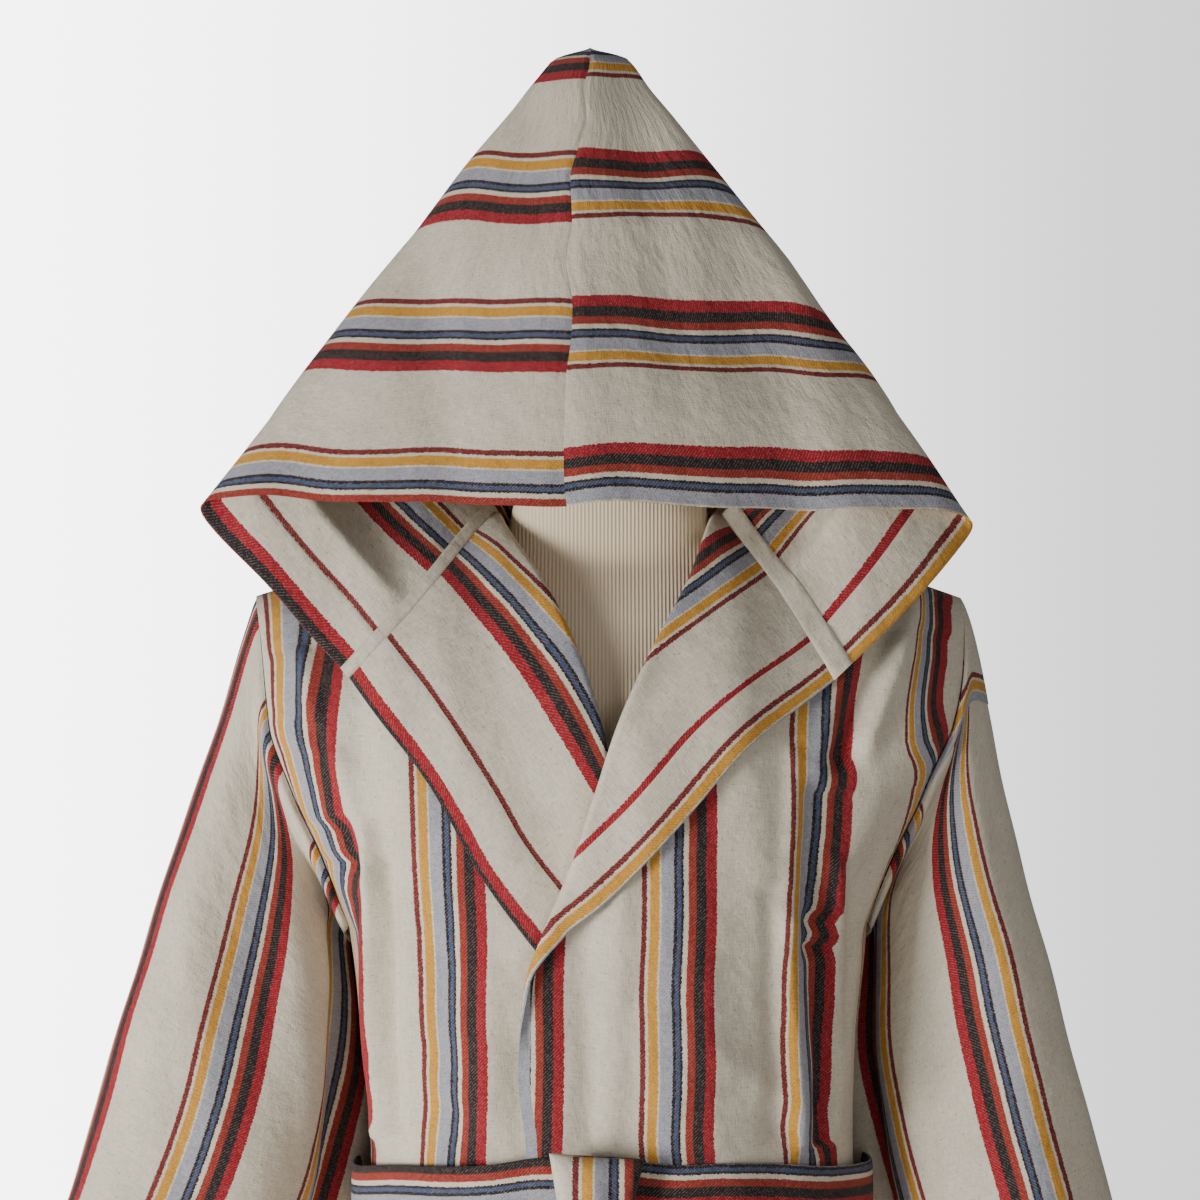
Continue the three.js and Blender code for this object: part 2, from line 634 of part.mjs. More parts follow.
// The knot sits on the band, thick in the middle, with the wraps of the belt as upright ridges.
function beltKnot() {
  const face = [];
  const back = [];
  for (let i = 0; i < KNOT_ROWS; i += 1) {
    const down = mix(1, -1, i / (KNOT_ROWS - 1));
    const narrow = 1 - 0.18 * (1 - Math.abs(down)) - 0.1 * Math.max(0, -down);
    const faceRow = [];
    const backRow = [];
    for (let j = 0; j < KNOT_COLUMNS; j += 1) {
      const across = mix(-1, 1, j / (KNOT_COLUMNS - 1));
      const x = KNOT.x + across * KNOT.halfWidth * narrow;
      const z = KNOT.z + down * KNOT.halfHeight;
      const dome = Math.sqrt((1 - 0.92 * across ** 4) * (1 - 0.8 * down ** 4));
      const ridge = WRAP_RIDGE * Math.cos(across * Math.PI * 3) * (1 - across ** 2);
      faceRow.push(frontSurface(x, z, KNOT_SEAT + KNOT.height * dome + ridge));
      backRow.push(frontSurface(x, z, KNOT_SEAT));
    }
    face.push(faceRow);
    back.push(backRow);
  }
  return shell(face, back);
}

const TAILS = {
  belt_tail_left: { top: -26, bottom: -66, end: 592 },
  belt_tail_right: { top: 13, bottom: 52, end: 560 },
};
const TAIL_HALF = 13; // half the width of a tail where it leaves the knot
const TAIL_HALF_END = 27;
const TAIL_CLEAR = 1.5; // from the robe's face to the tail
const TAIL_ROWS = 12;
const TAIL_COLUMNS = 4;

function beltTail({ top, bottom, end }) {
  const start = KNOT.z - KNOT.halfHeight - 3 * SEAM;
  const places = Array.from({ length: TAIL_COLUMNS }, (_, j) => mix(-1, 1, j / (TAIL_COLUMNS - 1)));
  const face = [];
  const back = [];
  for (let i = 0; i < TAIL_ROWS; i += 1) {
    const share = i / (TAIL_ROWS - 1);
    const z = mix(start, end, share);
    const middle = mix(top, bottom, ease(share));
    const half = mix(TAIL_HALF, TAIL_HALF_END, ease(share * 3));
    const row = (lift) => places.map((place) => frontSurface(middle + half * place, z, lift));
    face.push(row(TAIL_CLEAR + BELT_WALL));
    back.push(row(TAIL_CLEAR));
  }
  return shell(face, back);
}

// ---------- dress form ----------
const FORM_STEPS = 28;
const NECK_FORWARD = -8; // the neck leans this far to the front
const FORM_SHOULDER_DROP = WALL + 3.0; // from the cloth's outer face to the form under it

function loft(rings) {
  const positions = [];
  const index = [];
  const count = rings[0].length;
  rings.flat().forEach((point) => positions.push(point.x, point.y, point.z));
  for (let i = 0; i < rings.length - 1; i += 1) {
    for (let j = 0; j < count; j += 1) {
      const next = (j + 1) % count;
      const a = i * count + j;
      const b = i * count + next;
      index.push(a, b, b + count, a, b + count, a + count);
    }
  }
  const cap = (ring, offset, reverse) => {
    const sum = ring.reduce((total, point) => total.add(point), new THREE.Vector3());
    const middle = sum.divideScalar(count);
    const centre = positions.length / 3;
    positions.push(middle.x, middle.y, middle.z);
    for (let j = 0; j < count; j += 1) {
      const next = offset + ((j + 1) % count);
      index.push(...(reverse ? [centre, next, offset + j] : [centre, offset + j, next]));
    }
  };
  cap(rings[0], 0, true);
  cap(rings[rings.length - 1], (rings.length - 1) * count, false);
  const geometry = new THREE.BufferGeometry();
  geometry.setAttribute('position', new THREE.Float32BufferAttribute(positions, 3));
  geometry.setIndex(index);
  return facingOut(geometry);
}

const ovalRing = (width, depth, height) => Array.from({ length: FORM_STEPS }, (_, j) => {
  const angle = (2 * Math.PI * j) / FORM_STEPS;
  const x = width * signedPower(Math.cos(angle), 2 / SQUARE);
  const y = depth * signedPower(Math.sin(angle), 2 / SQUARE);
  return new THREE.Vector3(x, y, height(x));
});

function formBody() {
  const lower = [FORM_BOTTOM, 800, 860, 920, 980, 1050, 1120, 1190, 1260, 1320, 1370]
    .map((level, i) => {
      const inset = i === 0 ? 12 : 0;
      const width = read(FORM_SECTIONS, 'level', 'width', level) - inset;
      const depth = read(FORM_SECTIONS, 'level', 'depth', level) - inset;
      const height = (x) => level - shoulderFall(level) * Math.max(0, Math.abs(x) - NECK_HALF);
      return ovalRing(width, depth, height);
    });
  const upper = [1405, 1436, 1462, 1481, 1492, 1497].map((level) => {
    const width = mix(186, 190, (level - 1405) / 95);
    const rise = (level - CHEST_LEVEL) / (SHOULDER_LEVEL - CHEST_LEVEL);
    const depth = (CHEST_DEPTH - 16) * Math.sqrt(1 - rise ** 2);
    const height = (x) => level - FORM_SHOULDER_DROP * ease((level - 1405) / 60)
      - shoulderFall(level) * Math.max(0, Math.abs(x) - NECK_HALF);
    return ovalRing(width, depth, height);
  });
  return loft([...lower, ...upper]);
}

function formNeck() {
  const level = (z) => () => z;
  return loft([
    ovalRing(73, 47, level(1420)),
    ovalRing(75, 46, level(1470)),
    ovalRing(75, 44, level(1500)),
    ovalRing(70, 42, level(1520)),
    ovalRing(65, 40, level(NECK_TOP)),
  ]).translate(0, NECK_FORWARD, 0);
}

function solid(geometry) {
  const bare = geometry.clone();
  bare.deleteAttribute('normal');
  bare.deleteAttribute('uv');
  const merged = BufferGeometryUtils.mergeVertices(bare, 1e-4);
  return new wasm.Manifold(new wasm.Mesh({
    numProp: 3,
    vertProperties: merged.getAttribute('position').array,
    triVerts: new Uint32Array(merged.getIndex().array),
  }));
}

function fromSolid(manifold) {
  const mesh = manifold.getMesh();
  const geometry = new THREE.BufferGeometry();
  geometry.setAttribute('position', new THREE.Float32BufferAttribute(mesh.vertProperties, 3));
  geometry.setIndex(Array.from(mesh.triVerts));
  return geometry;
}

// ---------- stand ----------
function lathe(profile, segments = 40) {
  const points = profile.map(([radius, height]) => new THREE.Vector2(radius, height));
  return new THREE.LatheGeometry(points, segments).rotateX(Math.PI / 2);
}

const postBottom = NECK_TOP + SEAM + CAP_HEIGHT + SEAM;

function postProfile() {
  const profile = [[0, postBottom], [POST_RADIUS + 6, postBottom], [POST_RADIUS, postBottom + 8]];
  const centre = POST_TOP - POST_BALL;
  for (let i = 0; i <= 8; i += 1) {
    const angle = mix(-Math.PI / 2 + Math.asin(POST_RADIUS / POST_BALL), Math.PI / 2, i / 8);
    profile.push([i === 8 ? 0 : POST_BALL * Math.cos(angle), centre + POST_BALL * Math.sin(angle)]);
  }
  return profile;
}

const capProfile = [
  [0, NECK_TOP + SEAM],
  [58, NECK_TOP + SEAM],
  [62, NECK_TOP + SEAM + 4],
  [60, NECK_TOP + SEAM + 10],
  [54, NECK_TOP + SEAM + CAP_HEIGHT],
  [0, NECK_TOP + SEAM + CAP_HEIGHT],
];

const baseProfile = [
  [0, 0],
  [BASE_RADIUS - 3, 0],
  [BASE_RADIUS, 3],
  [BASE_RADIUS, BASE_HEIGHT - 5],
  [BASE_RADIUS - 5, BASE_HEIGHT],
  [36, BASE_HEIGHT + 2],
  [30, BASE_HEIGHT + 12],
  [26, BASE_HEIGHT + 30],
  [0, BASE_HEIGHT + 30],
];

const poleBottom = BASE_HEIGHT + 30 + SEAM;
const poleTop = FORM_BOTTOM - SEAM;
const poleProfile = [
  [0, poleBottom],
  [POLE_RADIUS, poleBottom],
  [POLE_RADIUS, poleTop - 14],
  [POLE_RADIUS + 12, poleTop - 4],
  [POLE_RADIUS + 12, poleTop],
  [0, poleTop],
];

// ---------- assembly ----------
const cloth = new THREE.MeshStandardMaterial({ color: 0xcdc6b8, roughness: 0.92, metalness: 0 });
const beltCloth = new THREE.MeshStandardMaterial({ color: 0xb9a99a, roughness: 0.92, metalness: 0 });
const jersey = new THREE.MeshStandardMaterial({ color: 0xcdb996, roughness: 0.88, metalness: 0 });
const wood = new THREE.MeshStandardMaterial({ color: 0x9a7046, roughness: 0.5, metalness: 0 });
const metal = new THREE.MeshStandardMaterial({ color: 0x3b3a39, roughness: 0.4, metalness: 0.8 });

const group = new THREE.Group();
function add(name, geometry, material) {
  const mesh = new THREE.Mesh(geometry, material);
  mesh.name = name;
  group.add(mesh);
}

const SIDES = [['right', 1], ['left', -1]];

// Every grid of cloth, with the normals of its right side.
const rightSide = (normals, sign) => (
  normals.map((row) => row.map((normal) => normal.multiplyScalar(sign)))
);
const back = { grid: backGrid(), sign: 1, rims: new Map() };
back.normals = gridNormals(back.grid, false);
const halves = SIDES.map(([name, side]) => {
  const make = (grid, sign, wrap) => {
    const normals = rightSide(gridNormals(grid, wrap), sign);
    return { grid, sign, wrap, normals, rims: new Map() };
  };
  return {
    name,
    side,
    front: make(frontGrid(name, side), side, false),
    sleeve: make(sleeveGrid(name, side), -side, true),
    hood: make(hoodGrid(name, side), side, false),
  };
});
const PANEL_START = ARC_STEPS + LAPEL_COLUMNS;
const PANEL_END = PANEL_START + PANEL_COLUMNS;
const BACK_END = 2 * (NECKLINE_STEPS + SHOULDER_STEPS);

// Rims along the armhole, common to the sleeve and to the front or back.
function joinSleeve({ side, front, sleeve }) {
  const backColumn = side > 0 ? 0 : BACK_END;
  RING_ANGLES.forEach((_, j) => {
    const onFront = j < ARM_LEVELS.length;
    const row = onFront ? j : RING_ANGLES.length - j;
    const panel = onFront ? front : back;
    const column = onFront ? PANEL_END : backColumn;
    const inner = onFront ? PANEL_END - 1 : backColumn + side;
    const away = panel.grid[row][column].clone().sub(panel.grid[row][inner]).normalize();
    const other = sleeve.normals[0][j];
    const rim = mitre(panel.normals[row][column], other, away, WALL);
    if (j === 0 || j === ARM_LEVELS.length - 1) rim.setY(0);
    panel.rims.set(`${row},${column}`, rim);
    if (other.dot(away) > -0.25) sleeve.rims.set(`0,${j}`, rim);
    if (j === 0) back.rims.set(`0,${backColumn}`, rim);
  });
}

// Front and back meet along the shoulder seam, where both rims hang straight down.
function joinShoulder({ side, front }) {
  const hang = (normal) => normal.clone().setY(0).normalize().multiplyScalar(-WALL);
  for (let j = PANEL_START; j < PANEL_END; j += 1) {
    front.rims.set(`0,${j}`, hang(front.normals[0][Math.max(j, PANEL_START + 1)]));
  }
  for (let j = 1; j <= SHOULDER_STEPS; j += 1) {
    const column = side > 0 ? j : BACK_END - j;
    back.rims.set(`0,${column}`, hang(back.normals[0][column]));
  }
}

// The hood is sewn to the top edge of the lapel.
function joinLapel({ front, hood }) {
  for (let out = 1; out <= PANEL_START; out += 1) {
    const column = PANEL_START - out;
    const away = front.grid[0][column].clone().sub(front.grid[1][column]).normalize();
    const other = hood.normals[0][NECKLINE_STEPS + out];
    const rim = mitre(front.normals[0][column], other, away, WALL);
    front.rims.set(`0,${column}`, rim);
    if (other.dot(away) > -0.25) hood.rims.set(`0,${NECKLINE_STEPS + out}`, rim);
  }
}

// The halves of the hood meet along the back seam and the top seam.
function joinHoods([first, second]) {
  for (const [own, other] of [[first, second], [second, first]]) {
    own.hood.grid.forEach((row, i) => row.forEach((point, j) => {
      if (j > 0 && i < HOOD_ROWS - 1) return;
      const away = new THREE.Vector3(-own.side, 0, 0);
      own.hood.rims.set(`${i},${j}`, mitre(own.hood.normals[i][j], other.hood.normals[i][j], away, WALL));
    }));
  }
}

halves.forEach(joinSleeve);
halves.forEach(joinShoulder);
halves.forEach(joinLapel);
joinHoods(halves);
for (const { name, front, sleeve, hood } of halves) {
  add(`front_${name}`, wall(front.grid, WALL, front), cloth);
  add(`sleeve_${name}`, wall(sleeve.grid, WALL, sleeve), cloth);
  add(`hood_${name}`, wall(hood.grid, WALL, hood), cloth);
}
add('back', wall(back.grid, WALL, back), cloth);

add('belt_band', beltBand(), beltCloth);
add('belt_knot', beltKnot(), beltCloth);
for (const [name, tail] of Object.entries(TAILS)) add(name, beltTail(tail), beltCloth);

add('form_torso', fromSolid(solid(formBody()).add(solid(formNeck()))), jersey);
add('form_neck_cap', lathe(capProfile), wood);
add('hood_post', lathe(postProfile(), 20).translate(...POST_PLACE, 0), metal);
add('form_pole', lathe(poleProfile, 28), metal);
add('form_base', lathe(baseProfile, 48), wood);

export default group;
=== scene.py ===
# %% [markdown]
# # A hooded bathrobe on a dress form
# The robe is woven cotton with bands of coloured stripes. It hangs on a limbless dress form with its
# hood up and its belt tied. Such cloth can be draped by a simulation, or drawn as surfaces that a few
# sizes drive. The second way is used here: each fold and stripe goes where the tailor put it, and every
# run gives the same robe. The front faces -Y and +Z is up. Blender's lengths are in metres.

import bpy
import numpy as np
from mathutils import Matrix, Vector


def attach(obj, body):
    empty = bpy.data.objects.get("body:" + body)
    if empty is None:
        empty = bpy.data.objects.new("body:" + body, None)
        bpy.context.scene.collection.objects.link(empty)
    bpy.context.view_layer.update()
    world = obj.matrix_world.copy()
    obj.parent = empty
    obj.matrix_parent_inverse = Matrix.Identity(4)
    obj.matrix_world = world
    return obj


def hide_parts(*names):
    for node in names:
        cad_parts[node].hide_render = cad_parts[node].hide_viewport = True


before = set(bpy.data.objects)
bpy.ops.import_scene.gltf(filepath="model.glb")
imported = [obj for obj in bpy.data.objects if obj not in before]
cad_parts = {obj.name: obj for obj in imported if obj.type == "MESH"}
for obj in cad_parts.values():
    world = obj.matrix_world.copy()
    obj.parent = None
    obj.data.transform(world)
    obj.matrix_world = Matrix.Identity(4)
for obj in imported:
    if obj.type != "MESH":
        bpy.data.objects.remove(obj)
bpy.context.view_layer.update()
MM = 0.001

# %% [markdown]
# ## Camera
# A long lens from three metres away keeps the hood and the lapels from bulging. A camera can be aimed by
# a constraint, but this one is level with the chest and looks straight back, so a quarter turn does it.

# %% Camera
camera_data = bpy.data.cameras.new("camera")
camera_data.lens = 125
camera_data.sensor_width = 36
camera = bpy.data.objects.new("camera", camera_data)
camera.location = (-0.0072, -3.1, 1.441)
camera.rotation_euler = (np.pi / 2, 0, 0)
bpy.context.collection.objects.link(camera)
bpy.context.scene.camera = camera
print("camera at", tuple(round(v, 3) for v in camera.location))

# %% [markdown]
# ## Lamps
# Soft light from one side shows folds by their shadows. A square lamp stands low on the left, and a
# larger, weaker and warmer one on the right keeps the far side from black. A ring of lamps would be
# easier to place, but it would flatten the cloth.


# %% Lamps
def lamp(name, place, aim, size, power, colour):
    data = bpy.data.lights.new(name, "AREA")
    data.shape = "RECTANGLE"
    data.size, data.size_y = size
    data.energy = power
    data.color = colour
    lit = bpy.data.objects.new(name, data)
    lit.location = place
    lit.rotation_euler = (Vector(aim) - Vector(place)).to_track_quat("-Z", "Y").to_euler()
    bpy.context.collection.objects.link(lit)


lamp("key", (-2.7, -2.0, 0.75), (0, 0, 1.3), (1.1, 1.1), 140, (1.0, 0.98, 0.95))
lamp("fill", (1.5, -3.3, 0.9), (0, 0, 1.35), (2.0, 2.0), 24, (1.0, 0.94, 0.87))

# %% [markdown]
# ## Backdrop and floor
# A studio has a pale wall behind the robe. Built as a real wall it would hide the robe from the back, so the
# world's background stands for it. Camera rays see it pale, with painted light that makes it paler to the
# left, and it lights the robe far less.

# %% Backdrop
ROOM_LIGHT = 0.2
# painted light on the backdrop: camera rays see it stronger on the left than on the right, as a lamp on the
# left would light a wall
PAINTED_LIGHT_RANGE = (("From Min", -0.2), ("From Max", 0.16), ("To Min", 7.0), ("To Max", 1.45))
world = bpy.data.worlds.new("room")
world.use_nodes = True
room = world.node_tree
backdrop = room.nodes["Background"]
seen = room.nodes.new("ShaderNodeLightPath").outputs["Is Camera Ray"]
sides = room.nodes.new("ShaderNodeSeparateXYZ")
room.links.new(room.nodes.new("ShaderNodeTexCoord").outputs["Generated"], sides.inputs[0])
painted_wall_light = room.nodes.new("ShaderNodeMapRange")
painted_wall_light.interpolation_type = "SMOOTHSTEP"
for socket, value in PAINTED_LIGHT_RANGE:
    painted_wall_light.inputs[socket].default_value = value
room.links.new(sides.outputs[0], painted_wall_light.inputs["Value"])
strength = room.nodes.new("ShaderNodeMix")
strength.inputs["A"].default_value = ROOM_LIGHT
room.links.new(seen, strength.inputs["Factor"])
room.links.new(painted_wall_light.outputs[0], strength.inputs["B"])
room.links.new(strength.outputs[0], backdrop.inputs["Strength"])
backdrop.inputs["Color"].default_value = (0.93, 0.93, 0.95, 1)
bpy.context.scene.world = world
print("backdrop nodes:", len(room.nodes))

# %% Floor
bpy.ops.mesh.primitive_plane_add(size=8)
floor = bpy.context.active_object
floor.name = "floor"
plaster = bpy.data.materials.new("floor")
plaster.use_nodes = True
matt = plaster.node_tree.nodes["Principled BSDF"].inputs
matt["Base Color"].default_value = (0.88, 0.87, 0.85, 1)
matt["Roughness"].default_value = 0.9
floor.data.materials.append(plaster)
print("stage:", floor.name)

# %% [markdown]
# ## The body under the robe
# A worn robe follows the body under it, so all its cloth lies on one body shape, an oval at each level
# that thins to a line along the shoulders. It could be one sculpted mesh. A formula was chosen, because
# panels, lapels and belt can then all find the same place on it: an angle round the body (0 front
# middle, + to the right) and a level. These functions work in millimetres.

# %% Dimensions
SHOULDER, CHEST, UNDERARM, HEM = 1500, 1300, 1200, 285
ARM_MIDDLE, ARM_HALF = (SHOULDER + UNDERARM) / 2, (SHOULDER - UNDERARM) / 2
# half width of the neckline, its depth behind, and how far the shoulder falls for each mm outwards
NECK_HALF, NECK_BACK, SLOPE = 82, 58, 0.32
# half depth of the chest, how square its oval is, half opening of the armhole and its limit as a share
CHEST_DEPTH, SQUARE, ARM_OPEN, ARM_SHARE = 124, 2.4, 50, 0.47
# half depth left along the shoulder line, and the radius at which a lapel rolls over
RIDGE, ROLL = 0.175, 3.6
SIDES = {"right": 1, "left": -1}
# level, half width, half depth
BODY = [(1200, 192, 124), (1120, 184, 119), (1040, 179, 112), (990, 180, 112), (930, 198, 124),
        (780, 226, 146), (550, 262, 174), (285, 298, 202)]
# level, reach of the armhole seam
ARMHOLE = [(1200, 192), (1250, 210), (1300, 232), (1360, 251), (1500, 262)]
# level, roll line, width of the turned part, its lean in degrees, how far it is turned in degrees
EDGE = {
    "right": [(1500, 82, 153, 57, 180), (1400, 33, 103, 50, 180), (1300, -6, 65, 47, 180),
              (1240, -26, 38, 46, 180), (1200, -43, 20, 40, 180), (1165, -54, 10, 20, 130),
              (1130, -56, 8, 0, 40), (1100, -57, 8, 0, 0), (1040, -50, 8, 0, 0), (800, -58, 8, 0, 0),
              (285, -76, 8, 0, 0)],
    "left": [(1500, 82, 168, 48, 180), (1412, 33, 148, 43, 180), (1337, 5, 133, 39, 180),
             (1250, -9, 99, 45, 180), (1184, -20, 60, 44, 180), (1130, -40, 20, 30, 180),
             (1096, -56, 8, 10, 130), (1070, -60, 8, 0, 40), (1043, -62, 8, 0, 0), (285, -84, 8, 0, 0)],
}
# place along the sleeve, outer x, outer z, inner x, inner z, half depth
SLEEVE = {
    "left": [(0, 262, 1442, 192, 1200, 50), (1, 276, 1405, 202, 1186, 57), (2, 300, 1328, 208, 1164, 64),
             (3, 326, 1245, 202, 1125, 69), (4, 352, 1162, 199, 1078, 72), (5, 378, 1080, 203, 1015, 74),
             (6, 401, 1005, 217, 950, 76), (7, 423, 935, 236, 890, 78)],
    "right": [(0, 262, 1442, 192, 1200, 50), (1, 270, 1405, 200, 1186, 56), (2, 286, 1328, 203, 1164, 62),
              (3, 307, 1245, 200, 1125, 67), (4, 330, 1162, 197, 1078, 70), (5, 351, 1080, 201, 1015, 72),
              (6, 370, 1005, 214, 950, 74), (7, 388, 932, 230, 886, 76)],
}
# degrees round the body, width, height, top, bottom, and over how much each end fades
FADE_TOP, FADE_BOTTOM = 80, 60
FOLDS = [(-64, 7, 5, 1260, 1050), (66, 6, 5, 1290, 1050), (50, 6, 4, 1330, 1050), (-30, 9, 4, 1180, 1050),
         (150, 9, 6, 1400, 1050), (-146, 10, 6, 1380, 1050), (180, 9, 5, 1330, 1050)]
# degrees round the body, width, height; they start at one level and are full this much lower
SKIRT_TOP, SKIRT_FADE = 980, 420
SKIRT_FOLDS = [(-72, 10, 20), (-38, 8, 15), (34, 8, 14), (68, 10, 20), (104, 10, 18), (138, 10, 20),
               (174, 11, 18), (-146, 10, 20), (-108, 10, 18)]
print("folds:", len(FOLDS), "at the waist and", len(SKIRT_FOLDS), "in the skirt")


# %% Body surface
def ease(value):
    t = np.clip(value, 0, 1)
    return t * t * (3 - 2 * t)


def mix(a, b, share):
    return a + (b - a) * share


def read(table, column, place):
    """One column of a table at any places, on a smooth curve."""
    rows = np.array(sorted(table), float)
    xs, ys = rows[:, 0], rows[:, column]
    slope = np.diff(ys) / np.diff(xs)
    both = slope[:-1] * slope[1:]
    total = slope[:-1] + slope[1:]
    inner = np.where(both > 0, 2 * both / np.where(total == 0, 1, total), 0)
    tangent = np.concatenate([slope[:1], inner, slope[-1:]])
    at = np.clip(place, xs[0], xs[-1])
    i = np.clip(np.searchsorted(xs, at, side="right") - 1, 0, len(xs) - 2)
    span = xs[i + 1] - xs[i]
    t = (at - xs[i]) / span
    start = (2 * t**3 - 3 * t**2 + 1) * ys[i] + (t**3 - 2 * t**2 + t) * span * tangent[i]
    return start + (3 * t**2 - 2 * t**3) * ys[i + 1] + (t**3 - t**2) * span * tangent[i + 1]


def power(value, exponent):
    return np.sign(value) * np.abs(value) ** exponent


def shoulder_fall(level):
    return SLOPE * ease((level - CHEST) / (SHOULDER - CHEST))


def half_depth(level):
    rise = np.clip((level - CHEST) / (SHOULDER - CHEST), 0, 1)
    high = np.maximum(RIDGE, CHEST_DEPTH * np.sqrt(1 - rise**2))
    return np.where(level < UNDERARM, read(BODY, 2, level), high)


def armhole_open(level):
    share = np.clip((level - ARM_MIDDLE) / ARM_HALF, -1, 1)
    return np.minimum(ARM_OPEN * np.sqrt(1 - share**2), ARM_SHARE * half_depth(level))


def half_width(level):
    high = read(ARMHOLE, 1, level) / (1 - (armhole_open(level) / half_depth(level)) ** SQUARE) ** (1 / SQUARE)
    return np.where(level < UNDERARM, read(BODY, 1, level), high)


def edge_angle(level):
    """Angle at which a front ends: at the armhole, and below it at the side seam."""
    gap = np.maximum(armhole_open(level), np.where(level <= UNDERARM, RIDGE, 0)) / half_depth(level)
    return np.arccos(gap ** (SQUARE / 2))


def base_point(angle, level):
    angle, level = np.broadcast_arrays(np.asarray(angle, float), np.asarray(level, float))
    x = half_width(level) * power(np.sin(angle), 2 / SQUARE)
    y = -half_depth(level) * power(np.cos(angle), 2 / SQUARE)
    z = level - shoulder_fall(level) * np.maximum(0, np.abs(x) - NECK_HALF)
    return np.stack([x, y, z], -1)


def fold_height(angle, level):
    degrees = np.degrees(angle)

    def bump(at, width, height):
        apart = np.abs((degrees - at + 540) % 360 - 180)
        return height * np.exp(-((apart / width) ** 2))

    height = sum(bump(at, width, high) * ease((top - level) / FADE_TOP) * ease((level - bottom) / FADE_BOTTOM)
                 for at, width, high, top, bottom in FOLDS)
    low = ease((SKIRT_TOP - level) / SKIRT_FADE)
    return height + low * sum(bump(*fold) for fold in SKIRT_FOLDS)


def unit(v):
    return v / np.maximum(np.linalg.norm(v, axis=-1, keepdims=True), 1e-9)


def outward(angle, level, near=0.004, step=0.8):
    """The surface's outward direction, from places close beside, above and below."""
    high = np.minimum(level + step / 2, SHOULDER)
    across = base_point(angle + near, level) - base_point(angle - near, level)
    up = base_point(angle, high) - base_point(angle, high - step)
    return unit(np.cross(across, up))


def body_point(angle, level, lift=0.0):
    out = outward(angle, level)
    return base_point(angle, level) + out * np.asarray(lift + fold_height(angle, level))[..., None]


def front_place(x, z):
    """Angle and level of the place on the front that shows at x, z."""
    level = np.asarray(z, float)
    for _ in range(8):
        level = np.minimum(SHOULDER, z + shoulder_fall(level) * np.maximum(0, np.abs(x) - NECK_HALF))
    share = np.clip(x / half_width(level), -0.999, 0.999)
    return np.arcsin(power(share, SQUARE / 2)), level


def right_lift(x, level):
    """The right front lies over the left: 12 mm above the belt, 6 mm below it, and 0 at its side."""
    high = mix(6, 12, ease((level - 960) / 90))
    return high * (1 - ease((x - 60) / 90)) * ease((1465 - level) / 95)


def overlap_lift(x, level):
    """What lies on both fronts rises where the right one begins."""
    return right_lift(x, level) * ease((x + 165) / 85)


print("chest point:", body_point(np.array(0.0), np.array(float(CHEST))).round(1))

# %% [markdown]
# ## The sleeve's surface
# A sleeve is a tube from the armhole to the cuff. It could be an extruded ring. Here each ring is read
# from a short table, because the sleeve falls off the shoulder and sags below the arm. Its top ring is
# the armhole itself, so the two fit. The cloth that drops over the shoulder lies on this surface too.

# %% Sleeve surface
# how far the inner line tucks in under the arm, and how far it lies back
TUCK, LIE_BACK = 23, 55
# the dent along the armhole seam: its depth in millimetres, and its width in places along the sleeve
SEAM_DENT, SEAM_WIDTH = 1.2, 0.12
# angle round the ring in degrees (0 outer, 90 front, 180 inner), width, height, start and end place
SLEEVE_FOLDS = {"right": [(60, 16, 5, 0.6, 6.6), (112, 16, 5, 1, 7.6), (147, 11, -15, 1.2, 7.6)],
                "left": [(50, 15, 5, 0.6, 7.4), (108, 16, 6, 1, 7.6), (143, 12, -17, 1.2, 7.6)]}


def sleeve_ring(name, side, place, angle):
    outer_x, outer_z, inner_x, inner_z, half = (read(SLEEVE[name], column, place) for column in range(1, 6))
    top = np.stack([side * outer_x, 0 * outer_x, outer_z], -1)
    inner_x = inner_x - TUCK * ease((place - 0.3) / 1.6)
    low = np.stack([side * inner_x, LIE_BACK * ease((place - 0.1) / 1.6), inner_z], -1)
    crease = 1 + 0.05 * np.sin(3 * angle + 1.7 * place) * ease(place / 2) * ease((8 - place) / 3)
    ring = (top + low) / 2 + (top - low) / 2 * np.cos(angle)[..., None]
    depth = -half * power(np.sin(angle), 0.9) * crease
    return ring + np.stack([0 * depth, depth, 0 * depth], -1)


def sleeve_points(name, side, place, angle):
    """The sleeve's surface at any places along it and angles round it, before its folds."""
    level = ARM_MIDDLE + ARM_HALF * np.cos(angle)
    edge = edge_angle(level)
    armhole = body_point(side * np.where(angle >= 0, edge, np.pi - edge), level)
    rest = (armhole - sleeve_ring(name, side, 0 * angle, angle)) * (1 - ease(place / 3))[..., None]
    return sleeve_ring(name, side, place, angle) + rest


def sleeve_folds(name, place, angle):
    total = -SEAM_DENT * np.exp(-((place / SEAM_WIDTH) ** 2))
    for at, width, height, start, end in SLEEVE_FOLDS[name]:
        apart = np.abs((np.degrees(angle) - at + 540) % 360 - 180)
        share = ease((place - start) / 0.8) * ease((end - place) / 0.8)
        total = total + height * np.exp(-((apart / width) ** 2)) * share
    return total


print("sleeve rows:", len(SLEEVE["right"]))

# %% [markdown]
# ## Cloth
# Real cloth is cut flat, and its stripes follow the cut. Stripes could be projected from the front, but
# they would slide over folds. So each grid of points also has its place on the flat cloth, across the
# stripes and along them, kept as a UV map. Where points of two grids fall together they are joined, and
# Solidify then gives the wall its thickness on the wrong side.

# %% Cloth meshes
CLOTH, SMOOTH_ANGLE = 0.9, 70
# wavelength in millimetres across and down, phase, how far it moves the cloth
WAVES = [(210, 330, 0.4, 2.0), (118, 190, 2.1, 1.3), (84, 260, 4.4, 0.9), (61, 92, 1.2, 0.55),
         (43, 130, 5.1, 0.4)]


def grid_normals(points):
    across = np.gradient(points, axis=1)
    down = np.gradient(points, axis=0)
    return unit(np.cross(across, -down))


